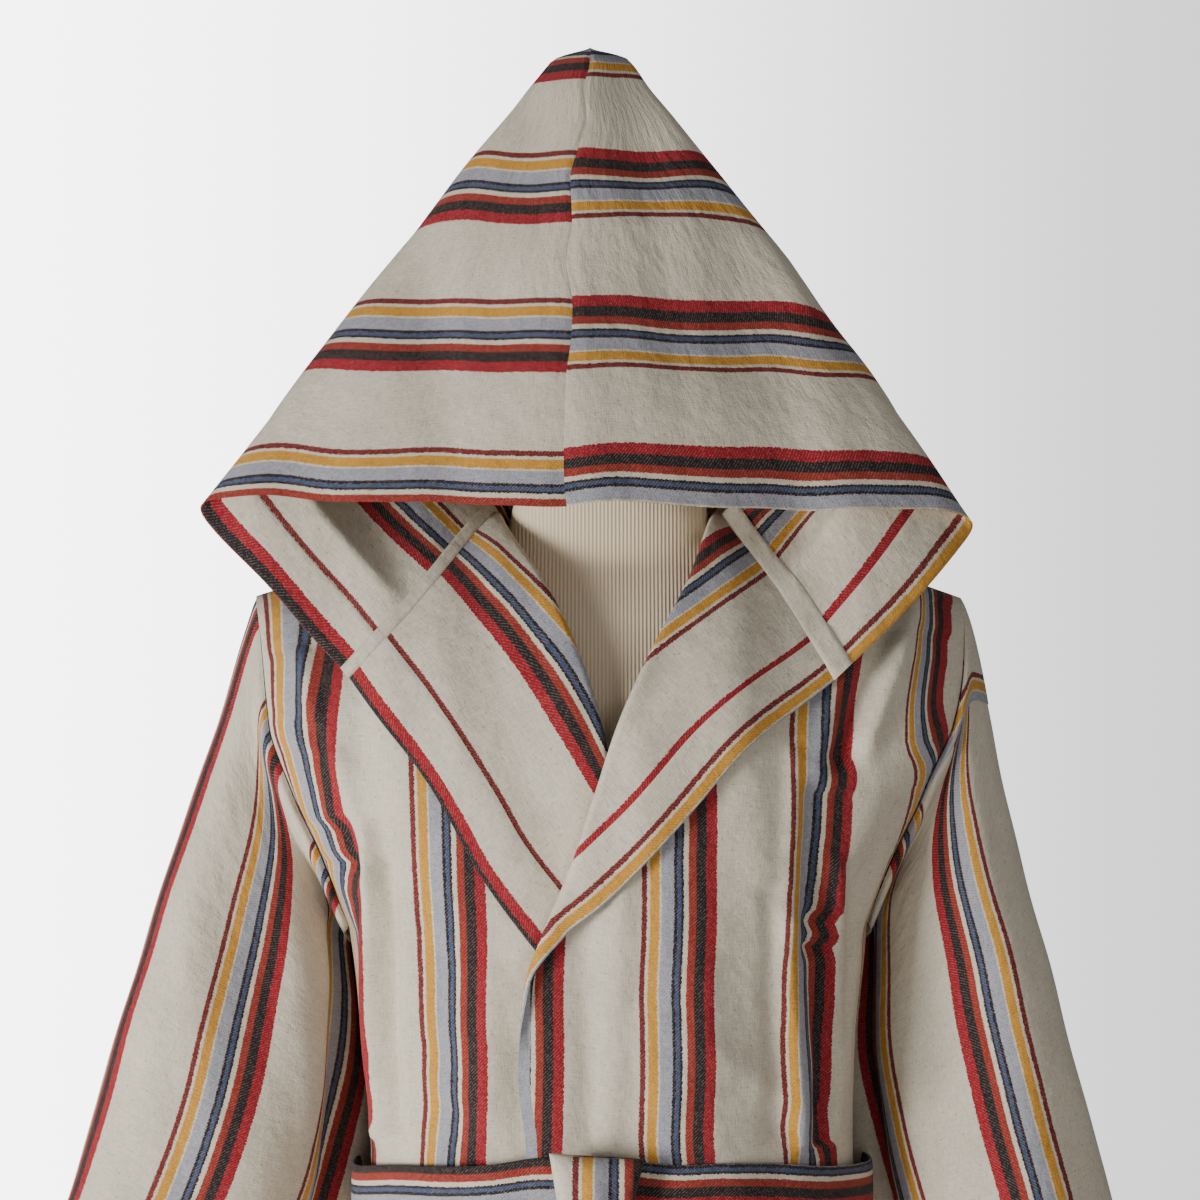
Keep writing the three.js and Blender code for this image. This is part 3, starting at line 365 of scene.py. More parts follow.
def along(points, axis):
    """Distance run along a grid's rows or columns, from their start."""
    steps = np.linalg.norm(np.diff(points, axis=axis), axis=-1)
    start = np.zeros_like(np.take(steps, [0], axis=axis))
    return np.cumsum(np.concatenate([start, steps], axis=axis), axis=axis)


def drape(places):
    """Slow waves through space, the same for every piece, so seams and layers stay together."""
    x, y, z = places.T
    moved = np.zeros_like(places)
    for across, down, phase, height in WAVES:
        moved[:, 1] += height * np.sin(2 * np.pi * (x / across + 0.35 * z / down) + phase)
        moved[:, 2] += 0.8 * height * np.sin(2 * np.pi * (x / (1.4 * across) - 0.2 * z / down) + 2 * phase)
        moved[:, 0] += 0.6 * height * np.sin(2 * np.pi * (z / down + y / 300) + 3 * phase)
    return moved


def cloth_mesh(name, blocks, face_out=True, thickness=CLOTH):
    """blocks is a list of (points, flat), both grids of rows by columns in millimetres."""
    places, flats, faces, count = [], [], [], 0
    for points, flat in blocks:
        rows, columns = points.shape[:2]
        ids = count + np.arange(rows * columns).reshape(rows, columns)
        quads = np.stack([ids[:-1, :-1], ids[1:, :-1], ids[1:, 1:], ids[:-1, 1:]], -1).reshape(-1, 4)
        places.append(points.reshape(-1, 3))
        flats.append(flat.reshape(-1, 2))
        faces.append(quads if face_out else quads[:, ::-1])
        count += rows * columns
    places, flats, faces = np.concatenate(places), np.concatenate(flats), np.concatenate(faces)
    _, first, merged = np.unique(places.round(2), axis=0, return_index=True, return_inverse=True)
    places = places + drape(places)
    joined = merged.reshape(-1)[faces]
    sound = np.array([len(set(face)) for face in joined.tolist()]) == 4
    joined, faces = joined[sound], faces[sound]
    mesh = bpy.data.meshes.new(name)
    mesh.from_pydata((places[first] * MM).tolist(), [], joined.tolist())
    layer = mesh.uv_layers.new(name="flat")
    layer.data.foreach_set("uv", (flats[faces.reshape(-1)] * MM).reshape(-1).astype(np.float32))
    mesh.update()
    piece = bpy.data.objects.new(name, mesh)
    bpy.context.collection.objects.link(piece)
    bpy.ops.object.select_all(action="DESELECT")
    piece.select_set(True)
    bpy.context.view_layer.objects.active = piece
    if thickness:
        wall = piece.modifiers.new("wall", "SOLIDIFY")
        wall.thickness = thickness * MM
        wall.offset = -1
        bpy.ops.object.modifier_apply(modifier="wall")
    bpy.ops.object.shade_smooth_by_angle(angle=np.radians(SMOOTH_ANGLE))
    print(name, len(piece.data.polygons), "faces")
    return piece


def at_distance(values, run, distance):
    """Values on a grid's rows at the same distance from their start; run is the distance of each column."""
    out = np.empty((len(values), len(distance), values.shape[-1]))
    for i in range(len(values)):
        for k in range(values.shape[-1]):
            out[i, :, k] = np.interp(distance, run[i], values[i, :, k])
    return out


def turned_hem(points, normals, run, edge_flat, sense, width):
    """The hem: past its free edge the cloth turns to the wrong side, and its stripes run on."""
    distance = np.concatenate([np.linspace(width, 1.5, 16), [0.6]])
    surface, out = at_distance(points, run, distance), at_distance(normals, run, distance)
    # The layer lies just clear of the cloth, but its cut edge and its fold lie on it.
    lift = np.full(len(distance), 2 * CLOTH + 0.15)
    lift[0], lift[-1] = CLOTH + 0.5, 1.5 * CLOTH
    layer = surface - unit(out) * lift[:, None]
    flat = np.stack(np.broadcast_arrays(edge_flat[..., 0] - sense * distance, edge_flat[..., 1]), -1)
    return np.concatenate([layer, points[:, :1]], 1), np.concatenate([flat, edge_flat], 1)


print("wall:", CLOTH, "mm thick, with", len(WAVES), "slow waves")

# %% [markdown]
# ## Lapels
# The free edge of each front turns back along a roll line and lies on the chest as a lapel, where the
# wrong side of the cloth shows. It could be a second piece laid on top. As one cloth with the panel it
# bends round the roll line with a true radius, and the stripes run on over it.

# %% Lapels
# rows of the panels, closest together at the shoulder and widest apart in the skirt
LEVELS = np.concatenate([[SHOULDER, 1498.5, 1496, 1492, 1487], np.linspace(1481, 1043, 96),
                         np.linspace(1036, 986, 11), np.linspace(976, HEM, 60)])
# Stripe place w at the free edge, at a known x of the panel, and which way w grows from the free edge.
STRIPES = {"right": {"edge": 15, "w": 54, "x": -32.4, "sense": 1},
           "left": {"edge": 43, "w": 54, "x": -90.0, "sense": -1}}
# Soft ridges (+) and creases (-) from one place to another: x, z, x, z, width, height.
LAPEL_BUMPS = {
    "right": [
        (40, 1390, -20, 1290, 14, -1.5), (95, 1420, 20, 1330, 16, 2.0), (120, 1440, 150, 1395, 12, 1.5),
    ],
    "left": [
        (-40, 1440, -20, 1330, 16, 2.0), (-95, 1440, -60, 1300, 12, -1.8), (-125, 1400, -75, 1260, 14, 1.8),
    ],
}


def segment_bumps(x, z, table):
    total = 0
    for x0, z0, x1, z1, width, height in table:
        dx, dz = x1 - x0, z1 - z0
        t = ((x - x0) * dx + (z - z0) * dz) / (dx * dx + dz * dz)
        near = np.clip(t, 0, 1)
        apart = np.hypot(x - x0 - near * dx, z - z0 - near * dz)
        total = total + height * np.exp(-((apart / width) ** 2))
    return total


def lapel_points(name, side, level, length):
    """Points at a distance from the roll line, out towards the free edge."""
    level = level[:, None]
    turn, lean = np.radians(read(EDGE[name], 4, level)), np.radians(read(EDGE[name], 3, level))
    roll = side * read(EDGE[name], 1, level)
    bent = np.minimum(length, ROLL * turn)
    beyond = ROLL * np.sin(bent / ROLL) + (length - bent) * np.cos(turn)
    lift = ROLL * (1 - np.cos(bent / ROLL)) + (length - bent) * np.sin(turn)
    roll_z = level - shoulder_fall(level) * np.maximum(0, np.abs(roll) - NECK_HALF)
    x, z = roll - side * beyond * np.cos(lean), roll_z + beyond * np.sin(lean)
    angle, at = front_place(x, z)
    base = right_lift(x, at) if name == "right" else 0
    bumps = segment_bumps(x, z, LAPEL_BUMPS[name]) * ease(length / 30)
    return body_point(angle, at, base + lift + bumps)


def lapel_lengths(name, level, arc_steps=8, flat_steps=34):
    reach = read(EDGE[name], 2, level)[:, None]
    arc = np.minimum(np.pi * ROLL, 0.6 * reach)
    out = np.concatenate([arc * np.linspace(0, 1, arc_steps + 1),
                          arc + (reach - arc) * np.linspace(0, 1, flat_steps + 1)[1:]], 1)
    return out[:, ::-1]


print("rows in a front:", len(LEVELS))

# %% [markdown]
# ## Panels
# Below and beside the lapel the front hangs as a plain panel, with folds where the belt draws it in and
# where the arm pulls it. Folds could be pushed in with a sculpting brush. Here each one is a line with a
# width and a height, so it can be moved by changing its numbers.

# %% Panels
# the dent along the armhole seam, its width, and about how wide a panel is there
PANEL_DENT, DENT_WIDTH, PANEL_WIDTH = 1.3, 5, 190
PANEL_BUMPS = {
    "right": [
        (8, 1290, -2, 1050, 9, 4.0), (26, 1260, 24, 1160, 8, -2.0), (-20, 1220, -14, 1060, 7, -2.5),
        (62, 1180, 70, 1050, 12, 2.5), (134, 1330, 128, 1210, 7, 4.5), (146, 1300, 141, 1190, 6, -4.5),
        (126, 1210, 136, 1050, 7, 6.5), (146, 1190, 152, 1050, 6, -8.0), (163, 1250, 160, 1060, 6, 6.5),
        (112, 1230, 116, 1060, 8, -3.0), (168, 1400, 150, 1320, 9, 4.0), (200, 1420, 168, 1330, 9, -7.5),
        (222, 1440, 186, 1340, 10, 7.5), (60, 1130, 150, 1058, 12, 2.0), (90, 1090, 10, 1052, 8, -1.5),
    ],
    "left": [
        (-172, 1275, -170, 1050, 6, 8.0), (-160, 1250, -158, 1060, 6, -8.5), (-147, 1220, -148, 1060, 8, 4.0),
        (-120, 1180, -116, 1060, 10, -2.5), (-84, 1170, -92, 1050, 10, 2.5), (-66, 1120, -66, 1055, 8, -2.5),
        (-212, 1350, -182, 1250, 7, -6.0), (-226, 1400, -196, 1290, 8, 5.5), (-196, 1330, -170, 1240, 8, 3.5),
        (-190, 1420, -176, 1330, 10, -3.0), (-150, 1110, -70, 1060, 10, 1.8),
    ],
}


def panel_points(name, side, level, share):
    level = level[:, None]
    roll = side * read(EDGE[name], 1, level)
    roll_z = level - shoulder_fall(level) * np.maximum(0, np.abs(roll) - NECK_HALF)
    start, _ = front_place(roll, roll_z)
    angle = mix(start, side * edge_angle(level), share)
    base = base_point(angle, level)
    x = base[..., 0]
    lift = right_lift(x, level) if name == "right" else 0 * x
    seam = -PANEL_DENT * np.exp(-(((1 - share) * PANEL_WIDTH / DENT_WIDTH) ** 2)) * ease((1490 - level) / 30)
    bumps = segment_bumps(x, base[..., 2], PANEL_BUMPS[name]) * ease(share * 12)
    return body_point(angle, level, lift + seam + bumps)


print("folds in the panels:", {name: len(table) for name, table in PANEL_BUMPS.items()})

# %% [markdown]
# ## Dropped shoulder
# On a loose robe the body's cloth runs past the shoulder's end and down the arm, to a slanting seam.
# The whole sleeve could be moved down, but the fit at the armhole would be lost. So a patch of the same
# cloth lies on the sleeve. Behind, it is joined to the back's edge point for point. In front it is joined
# only at the top. Below, the panel's edge is dented under it, and the small step shows as a crease.

# %% Dropped shoulder
# How far it drops at its outer side, in places along the sleeve, and the angle round it where it ends.
DROP, DROP_ANGLE = 1.6, np.radians(116)
# Its stripe place w at the seam, how much of the repeat it shows, and how far it stands off the sleeve.
DROP_W, DROP_SHOWN, PUFF = 131, 72, 3.5
DROP_ANGLES = np.arccos(np.clip((LEVELS - ARM_MIDDLE) / ARM_HALF, -1, 1))
DROP_ANGLES = DROP_ANGLES[DROP_ANGLES < DROP_ANGLE]


def dropped_shoulder(name, side, angle):
    angle, share = angle[None, :], np.linspace(0, 1, 40)[:, None]
    reach = DROP * (1 - ease(np.abs(angle) / DROP_ANGLE)) ** 0.8
    place, angle = np.broadcast_arrays(share * reach, angle)
    points = sleeve_points(name, side, place, angle)
    rings = np.broadcast_arrays(np.linspace(0, 2, 41)[:, None], np.linspace(-np.pi, np.pi, 49)[None, :])
    middles = sleeve_points(name, side, *rings).mean(axis=1)
    middle = np.stack([np.interp(place, rings[0][:, 0], middles[:, k]) for k in range(3)], -1)
    puff = PUFF * np.sin(np.pi * share) * reach / DROP
    lift = SEAM_DENT + sleeve_folds(name, place, angle) + puff
    points = points + unit(points - middle) * lift[..., None]
    down = along(points, 0)
    w = DROP_W - (down[-1:] - down) * np.minimum(1, DROP_SHOWN / np.maximum(down[-1:], 1))
    return points, np.stack([w, np.broadcast_to(along(points[-1:], 1), w.shape)], -1)


print("points along the dropped seam:", len(DROP_ANGLES), "in front and behind")

# %% [markdown]
# ## Fronts
# A front is its turned hem, its lapel and its panel, and on the right also the patch over the shoulder.
# They could stay four pieces, but one mesh has no gap along the roll line, as in the real cut.

# %% Fronts
# hem's width in millimetres
HEM_WIDTH = {"right": 35.0, "left": 39.5}
# cloth drawn into the folds of each shoulder, in millimetres
GATHER = {"right": 34, "left": 12}


def front(name, side):
    stripe = STRIPES[name]
    lapel = lapel_points(name, side, LEVELS, lapel_lengths(name, LEVELS))
    share = np.linspace(0, 1, 85)[None, :]
    panel = panel_points(name, side, LEVELS, share)
    run = along(lapel, 1)
    edge_run = along(lapel[:, :1], 0)
    tangent = unit(np.gradient(lapel[:, 0], axis=0))
    inward = unit(lapel[:, 8] - lapel[:, 0])
    slant = np.sum(tangent * inward, -1)[:, None]
    across = run * np.sqrt(1 - np.clip(slant, -0.95, 0.95) ** 2)
    lapel_flat = np.stack([stripe["edge"] + stripe["sense"] * across, edge_run + run * slant], -1)
    roll_x = side * read(EDGE[name], 1, LEVELS)[:, None]
    panel_w = stripe["w"] + (roll_x - stripe["x"]) + side * along(panel, 1)
    panel_w = panel_w + GATHER[name] * ease((share - 0.6) / 0.27) * ease((LEVELS[:, None] - 1290) / 110)
    panel_flat = np.stack([panel_w, np.broadcast_to(along(panel[:, 40:41], 0), panel_w.shape)], -1)
    whole = np.concatenate([lapel, panel[:, 1:]], 1)
    normals = side * grid_normals(whole)
    hem = turned_hem(whole, normals, along(whole, 1), lapel_flat[:, :1], stripe["sense"], HEM_WIDTH[name])
    blocks = [hem, (lapel, lapel_flat), (panel, panel_flat)]
    if name == "right":
        blocks.append(dropped_shoulder(name, side, DROP_ANGLES[::-1]))
    return cloth_mesh(f"robe_front_{name}", blocks, side > 0)


robe = {f"front_{name}": front(name, side) for name, side in SIDES.items()}

# %% [markdown]
# ## Back
# The back is one width of cloth from side seam to side seam, with the neckline hollowed out of its top.
# The neckline could be cut with a boolean. Here the rows are bent under it instead, so the stripes and
# the edge stay clean, and the hood can use the same points for its seam.

# %% Back
TOP_HALF = half_width(np.array(float(SHOULDER)))
NECK_ANGLE = float(np.arcsin((NECK_HALF / TOP_HALF) ** (SQUARE / 2)))
TOP_EDGE = float(edge_angle(np.array(float(SHOULDER))))
# the stripe place at the back's middle, and the level under which the neckline no longer bends the rows
BACK_W, BEND_END = 27, 1240


def neck_level(x):
    inside = np.clip(1 - (x / NECK_HALF) ** 2, 0, 1)
    section = (1 - np.minimum(1, x / TOP_HALF) ** SQUARE) ** (1 / SQUARE)
    reach = np.clip(NECK_BACK * np.sqrt(inside) / np.maximum(section, 0.01) / CHEST_DEPTH, 0, 1)
    return np.where(x >= NECK_HALF, SHOULDER, CHEST + (SHOULDER - CHEST) * np.sqrt(1 - reach**2))


def back_points(side, column, level):
    """column runs from 0 in the middle to 4 at the neck and 10 at the armhole or side seam."""
    top = np.where(column <= 4, NECK_ANGLE * column / 4, mix(NECK_ANGLE, TOP_EDGE, (column - 4) / 6))
    x_top = TOP_HALF * np.sin(top) ** (2 / SQUARE)
    place = level - (SHOULDER - neck_level(x_top)) * ease((level - BEND_END) / (SHOULDER - BEND_END))
    return body_point(side * (np.pi - top / TOP_EDGE * edge_angle(place)), place)


columns = np.linspace(0, 10, 61)[None, :]
halves = [back_points(1, columns[:, ::-1], LEVELS[:, None]), back_points(-1, columns[:, 1:], LEVELS[:, None])]
back_grid = np.concatenate(halves, 1)
back_run = along(back_grid, 1)
back_flat = np.stack([BACK_W + back_run - back_run[:, 60:61],
                      np.broadcast_to(along(back_grid[:, 60:61], 0), back_run.shape)], -1)
drop = dropped_shoulder("right", 1, -DROP_ANGLES)
robe["back"] = cloth_mesh("robe_back", [(back_grid, back_flat), drop])

# %% [markdown]
# ## Sleeves
# Each sleeve is the tube described above with its long folds added, and its stripes run down from the
# shoulder. Folds could come from a cloth simulation. Drawn as ridges they stay where the arm bends.

# %% Sleeves
# the stripe place along each sleeve's outer line
SLEEVE_W = {"right": -62, "left": 18}


def sleeve(name, side):
    place, angle = np.linspace(0, 7, 150)[:, None], np.linspace(-np.pi, np.pi, 113)[None, :]
    place, angle = np.broadcast_arrays(place, angle)
    points = sleeve_points(name, side, place, angle)
    middle = points.mean(axis=1, keepdims=True)
    out = unit(points - middle)
    points = points + out * sleeve_folds(name, place, angle)[..., None]
    run, outer = along(points, 1), slice(56, 57)
    w = SLEEVE_W[name] + (run - run[:, outer])
    v = np.broadcast_to(along(points[:, outer], 0), w.shape)
    return cloth_mesh(f"robe_sleeve_{name}", [(points, np.stack([w, v], -1))], side < 0)


for name, side in SIDES.items():
    robe[f"sleeve_{name}"] = sleeve(name, side)

# %% [markdown]
# ## Hood
# Each half of the hood is a rectangle of cloth. From the seam along the top it slopes to a ridge, and
# behind that it bags out and comes in to the neck seam. A simulation could drop it over the post, but its
# corners would land somewhere else each time the cloth changes. So the seam, the top and the ridge are
# lines between named places, the cloth's height says how deep the bag is, and smoothing rounds it off.

# %% Hood
# the hood's point and how blunt it is, the front end of the top seam, and the two front corners
APEX, BLUNT = np.array([-14.0, 20, 1893]), 30
HOOD_FRONT = np.array([-31.0, -125, 1508])
CORNER = {"left": np.array([-317.0, -50, 1519]), "right": np.array([288.0, -50, 1508])}
HOOD_HEIGHT, HOOD_WIDTH = 440, 367
# rows in the bag and in the slope, rounds of smoothing, and columns along the back's neckline
BAG, SLOPES, SMOOTHING, NAPE_COLUMNS = 60, 30, 95, 25
# share of the ridge that the blunt point takes up
RIDGE_START = 0.012


def neck_seam(name, side):
    """The seam from the back's middle to the free edge, and how far forward each point of it lies."""
    level = np.array([SHOULDER], float)
    nape = back_points(side, np.linspace(0, 4, NAPE_COLUMNS)[None, :], level[None])[0]
    turned = lapel_points(name, side, level, lapel_lengths(name, level)[:, ::-1])[0]
    seam = np.concatenate([nape, turned[1:]])
    run = along(seam[None], 1)[0]
    from_edge = run[-1] - run
    neck = from_edge[NAPE_COLUMNS - 1]
    forward = np.where(from_edge <= neck, 1 - from_edge / HOOD_WIDTH,
                       (1 - neck / HOOD_WIDTH) * run / run[NAPE_COLUMNS - 1])
    return seam, forward


def hood_grid(name, side):
    seam, forward = neck_seam(name, side)
    slope = np.linalg.norm(CORNER[name] - HOOD_FRONT)
    top = mix(APEX, HOOD_FRONT, forward[:, None])
    ridge_share = mix(RIDGE_START, 1, forward)
    ridge = mix(APEX, CORNER[name], ridge_share[:, None])
    ridge[:, 0] = mix(APEX[0], ridge[:, 0], ease(forward * 12))
    ridge[:, 1] += 12 * (1 - forward) ** 4
    behind = HOOD_HEIGHT - slope * ridge_share
    chord = np.linalg.norm(ridge - seam, axis=-1)
    bag = chord * 0.62 * np.sqrt(np.maximum(0, behind / chord - 1))
    out = unit(np.stack([side * 0.75 * np.sin(np.pi * forward), 1 + 0 * forward, 0.1 + 0 * forward], -1))
    share = np.linspace(0, 1, BAG + 1)[:-1, None, None]
    lower = mix(seam, ridge, share) + out * (bag[:, None] * np.sin(np.pi * share) ** 1.25)
    # Behind the ridge the cloth rolls back, so the front edge hangs clear before it.
    behind_ridge = np.exp(-(((share[..., 0] - 0.84) / 0.15) ** 2)) * ease((forward - 0.3) / 0.4)
    lower[..., 1] += 17 * behind_ridge
    lower[..., 2] += 2 * behind_ridge
    upper = mix(ridge, top, np.linspace(0, 1, SLOPES + 1)[:, None, None])
    return settled(np.concatenate([lower, upper]), forward, side), forward


def settled(points, forward, side):
    """Blunts the hood's point where it rests on the post, then evens out the cloth."""
    below = APEX[2] - points[..., 2]
    points[..., 2] = APEX[2] - np.hypot(below, BLUNT * ease(1.4 - below / 250))
    points[..., 2] -= 0.35 * np.maximum(0, points[..., 2] - 1847)
    points[..., 2] -= 4.5 * np.exp(-((forward / 0.012) ** 2)) * ease((points[..., 2] - 1800) / 30)
    swell = 5 * np.exp(-(((below - 30) / 28) ** 2))
    points[..., 0] += side * swell * ease(np.abs(points[..., 0] - APEX[0]) / 12)
    soft = (0.1 + 0.3 * forward**2)[:, None]
    for _ in range(SMOOTHING):
        points[1:-1] += soft * ((points[:-2] + points[2:]) / 2 - points[1:-1])
        points[-1, :, 1:] += soft * (points[-2, :, 1:] - points[-1, :, 1:])
    return points


# %% [markdown]
# ## Top seam
# The two halves are sewn along the top, and the seam wanders a little as it does on a real hood. A dark
# line could be painted there. Both halves are instead drawn to one shared line and sink into a shallow
# ditch along it, so the seam shows by its own shadow.

# %% Top seam
# the ditch's depth and half width, and how far from the seam the cloth is drawn to it
DITCH, DITCH_WIDTH, DRAWN = 1.3, 2.2, 45
# level on the hood, x of its top seam
TOP_SEAM = [(1841, -13), (1823, -18), (1801, -17), (1772, -25), (1755, -30), (1740, -29), (1718, -28),
            (1702, -33), (1682, -31), (1664, -28), (1628, -29), (1607, -31), (1556, -32), (1508, -31)]


def hood_halves():
    grids = {name: hood_grid(name, side) for name, side in SIDES.items()}
    tops = {name: grid[0][-1] for name, grid in grids.items()}
    steps = np.linspace(0, 1, 60)
    ahead = {name: np.stack([np.interp(steps, grids[name][1], tops[name][:, k]) for k in range(3)], -1)
             for name in tops}
    common = (ahead["right"] + ahead["left"]) / 2
    common[:, 0] = read(TOP_SEAM, 1, common[:, 2])
    common[:, 0] += ease((common[:, 2] - 1838) / 12) * (-13 - common[:, 0])
    for name, (points, forward) in grids.items():
        target = np.stack([np.interp(forward, steps, common[:, k]) for k in range(3)], -1)
        target[:, 0] -= SIDES[name] * 0.5 * ease(forward / 0.05)
        shift = target - points[-1]
        away = np.linalg.norm(points - points[-1], axis=-1)
        near = np.exp(-((away / DRAWN) ** 2))[..., None]
        near[:BAG] = 0
        points += shift * near
        ditch = np.exp(-((away / DITCH_WIDTH) ** 2))[..., None] * DITCH
        ditch = ditch * ease((forward - 0.03) / 0.06)[:, None]
        points[BAG:] -= grid_normals(points)[BAG:] * ditch[BAG:] * SIDES[name]
    return grids


# soft sags in the slopes: x, z, spread across and down, drop
SAGS = [(48, 1648, 55, 42, 8), (30, 1765, 32, 26, 5), (-112, 1655, 58, 60, 4), (120, 1572, 60, 30, -3),
        (-60, 1745, 30, 40, 3), (150, 1640, 40, 40, 3), (-190, 1570, 50, 40, 3)]


def sagged(points):
    """The slopes give a little between the seam and the ridges, and dent where they sag."""
    for x, z, across, down, drop in SAGS:
        share = np.exp(-(((points[..., 0] - x) / across) ** 2) - ((points[..., 2] - z) / down) ** 2)
        share = share * ease(-points[..., 1] / 25 + 1)
        points[..., 2] -= drop * share
        points[..., 1] += 0.7 * drop * share
    return points


HALVES = {name: (sagged(points), forward) for name, (points, forward) in hood_halves().items()}
print("front corners at", {name: points[BAG, -1].round() for name, (points, _) in HALVES.items()})

# %% [markdown]
# ## Seam strips and hood halves
# Inside the hood the neck seam's allowance is pressed up and sewn down as a plain narrow strip. It could
# be a dark line in the weave, but its edge catches light, so it is a thin layer of the same mesh. The
# front edge of each half is hemmed as the lapels are.

# %% Hood halves
# the stripe place at the front edge, the hem's width, and the seam strip's width in millimetres
HOOD_EDGE = {"right": 13, "left": 39}
HOOD_HEM = {"right": 35.0, "left": 34.4}
TAPE = {"right": 17, "left": 9}
# how far in from the front edge the strip runs, and a stripe place where the cloth is plain
TAPE_END, PLAIN_W = 190, 82


def hood(name, side):
    points, forward = HALVES[name]
    points = points[:, ::-1]
    forward = forward[::-1]
    normals = -side * grid_normals(points)
    sense = STRIPES[name]["sense"]
    w = HOOD_EDGE[name] + sense * (1 - forward) * HOOD_WIDTH
    v = np.broadcast_to(along(points[:, :1], 0), points.shape[:2])
    flat = np.stack([np.broadcast_to(w, points.shape[:2]), v], -1)
    run = np.broadcast_to((1 - forward) * HOOD_WIDTH, points.shape[:2])
    hem = turned_hem(points, normals, run, flat[:, :1], sense, HOOD_HEM[name])
    tape = seam_tape(points, normals, run, TAPE[name])
    return cloth_mesh(f"robe_hood_{name}", [hem, (points, flat), tape], side < 0)


def seam_tape(points, normals, run, width):
    columns = np.flatnonzero(run[0] <= TAPE_END)
    climbed = along(points, 0)
    rows = np.linspace(-0.5, width, 9)
    surface, out = [], []
    for j in columns:
        surface.append(np.stack([np.interp(rows, climbed[:, j], points[:, j, k]) for k in range(3)], -1))
        out.append(np.stack([np.interp(rows, climbed[:, j], normals[:, j, k]) for k in range(3)], -1))
    surface, out = np.stack(surface, 1), unit(np.stack(out, 1))
    lift = np.full((len(rows), 1, 1), 3 * CLOTH + 0.5)
    lift[0] = lift[-1] = 2 * CLOTH
    # Past the hem the strip comes down onto the single cloth.
    over_hem = 1 - 0.6 * ease((run[0][columns] - 32) / 6)
    layer = surface - out * lift * over_hem[None, :, None]
    flat = np.stack(np.broadcast_arrays(PLAIN_W + rows[:, None], climbed[:1, columns] + run[0][columns]), -1)
    return layer, flat


for name, side in SIDES.items():
    robe[f"hood_{name}"] = hood(name, side)

# %% [markdown]
# ## Belt band
# The belt is a strip of the same cloth sewn double, so it has a rounded edge and no cut one. It could be
# a curve with a profile. A tube of rings round the waist was chosen, because each ring can rest on
# the fronts at its own place, and the stripes need its flat cloth.

# %% Belt band
BELT_TOP, BELT_BOTTOM, BELT_HALF_THICK = 1043, 986, 1.9
KNOT_X, KNOT_Z = -8, 1013
# the stripe place at the top edge of each half
BELT_W = {1: 23, -1: 45}
TURN = np.linspace(0, 2 * np.pi, 41)


def band_section(half):
    """Round a doubled band: places across it for each row's half width, and its rounding."""
    return power(np.cos(TURN), 0.75) * half[:, None], power(np.sin(TURN), 0.45)


def belt_level(angle):
    """Upper and lower edge of the belt round the waist: it draws in beside the knot."""
    side = np.exp(-(((angle - 0.34) / 0.22) ** 2))
    left = np.exp(-(((angle + 0.42) / 0.25) ** 2))
    sag = 17 * np.sin(angle) ** 2
    return BELT_TOP - 1 - 2 * side - 4 * left - sag, BELT_BOTTOM + 1 + 22 * side + 8 * left - sag


def belt_half(side):
    angle = side * np.linspace(0.02, np.pi, 150)
    top, bottom = belt_level(angle)
    level, half = (top + bottom) / 2, (top - bottom) / 2
    lift = np.where(np.abs(angle) < np.pi / 2, overlap_lift(base_point(angle, level)[:, 0], level), 0)
    middle = body_point(angle, level, lift + 3.2 + 9 * np.sin(angle) ** 6)
    across, thick = band_section(half)
    points = (middle[:, None] + np.array([0.0, 0, 1]) * across[..., None]
              + outward(angle, level)[:, None] * (thick * BELT_HALF_THICK)[None, :, None])
    w = BELT_W[side] + side * (half[:, None] - across)
    return points, np.stack([w, np.broadcast_to(along(middle[:, None], 0), w.shape)], -1)


def doubled(name, blocks, **options):
    return cloth_mesh(name, blocks, thickness=0, **options)


right_half, left_half = belt_half(1), [grid[:, ::-1] for grid in belt_half(-1)]
belt = {"belt_band": doubled("belt_band_cloth", [right_half, left_half])}

# %% [markdown]
# ## Knot and hanging ends
# The knot is one turn of the belt over itself, and the two ends hang from it, narrow where they leave it
# and full width below. A knot could be tied with a curve in several loops. Only its front turn
# shows, so it is a soft closed pad with the turn's ridges, and the ends are closed tubes.

# %% Knot
KNOT_HALF_WIDTH, KNOT_HALF_HEIGHT = 32, 33
# how far its middle and its front stand off the fronts
KNOT_LIFT, KNOT_DOME = 18, 13.5


def front_surface(x, z, lift):
    angle, level = front_place(x, z)
    return body_point(angle, level, overlap_lift(x, level) + lift)


def knot():
    down, turn = np.linspace(1, -1, 49)[:, None], np.linspace(0, 2 * np.pi, 97)[None, :]
    narrow = 1 - 0.18 * (1 - np.abs(down)) - 0.1 * np.maximum(0, -down)
    across = power(np.cos(turn), 0.8) * narrow
    x = KNOT_X + across * KNOT_HALF_WIDTH
    z = KNOT_Z + down * KNOT_HALF_HEIGHT + 0 * across
    dome = np.sqrt(np.maximum(0, 1 - 0.9 * down**4))
    depth = power(np.sin(turn), 0.7)
    wraps = 1.4 * np.cos(across * np.pi * 2.2 + 0.6 * down) * (depth > 0) * (1 - across**2)
    lift = KNOT_LIFT + KNOT_DOME * depth * dome + wraps * dome
    points = front_surface(x, z, lift)
    w = 15 + across * 31
    return points, np.stack([w, 40 * down + 0 * w], -1)


def capped(block):
    """Closes a tube's two ends with rings that draw in to a point."""
    points, flat = block
    ends = []
    for row, share in ((0, 1), (-1, 0)):
        rim, middle = points[row], points[row, :-1].mean(axis=0)
        ring = np.stack([mix(middle, rim, s) for s in ((0, 0.5, 1) if share else (1, 0.5, 0))])
        ends.append((ring, np.stack([flat[row]] * 3)))
    return [ends[0], block, ends[1]]


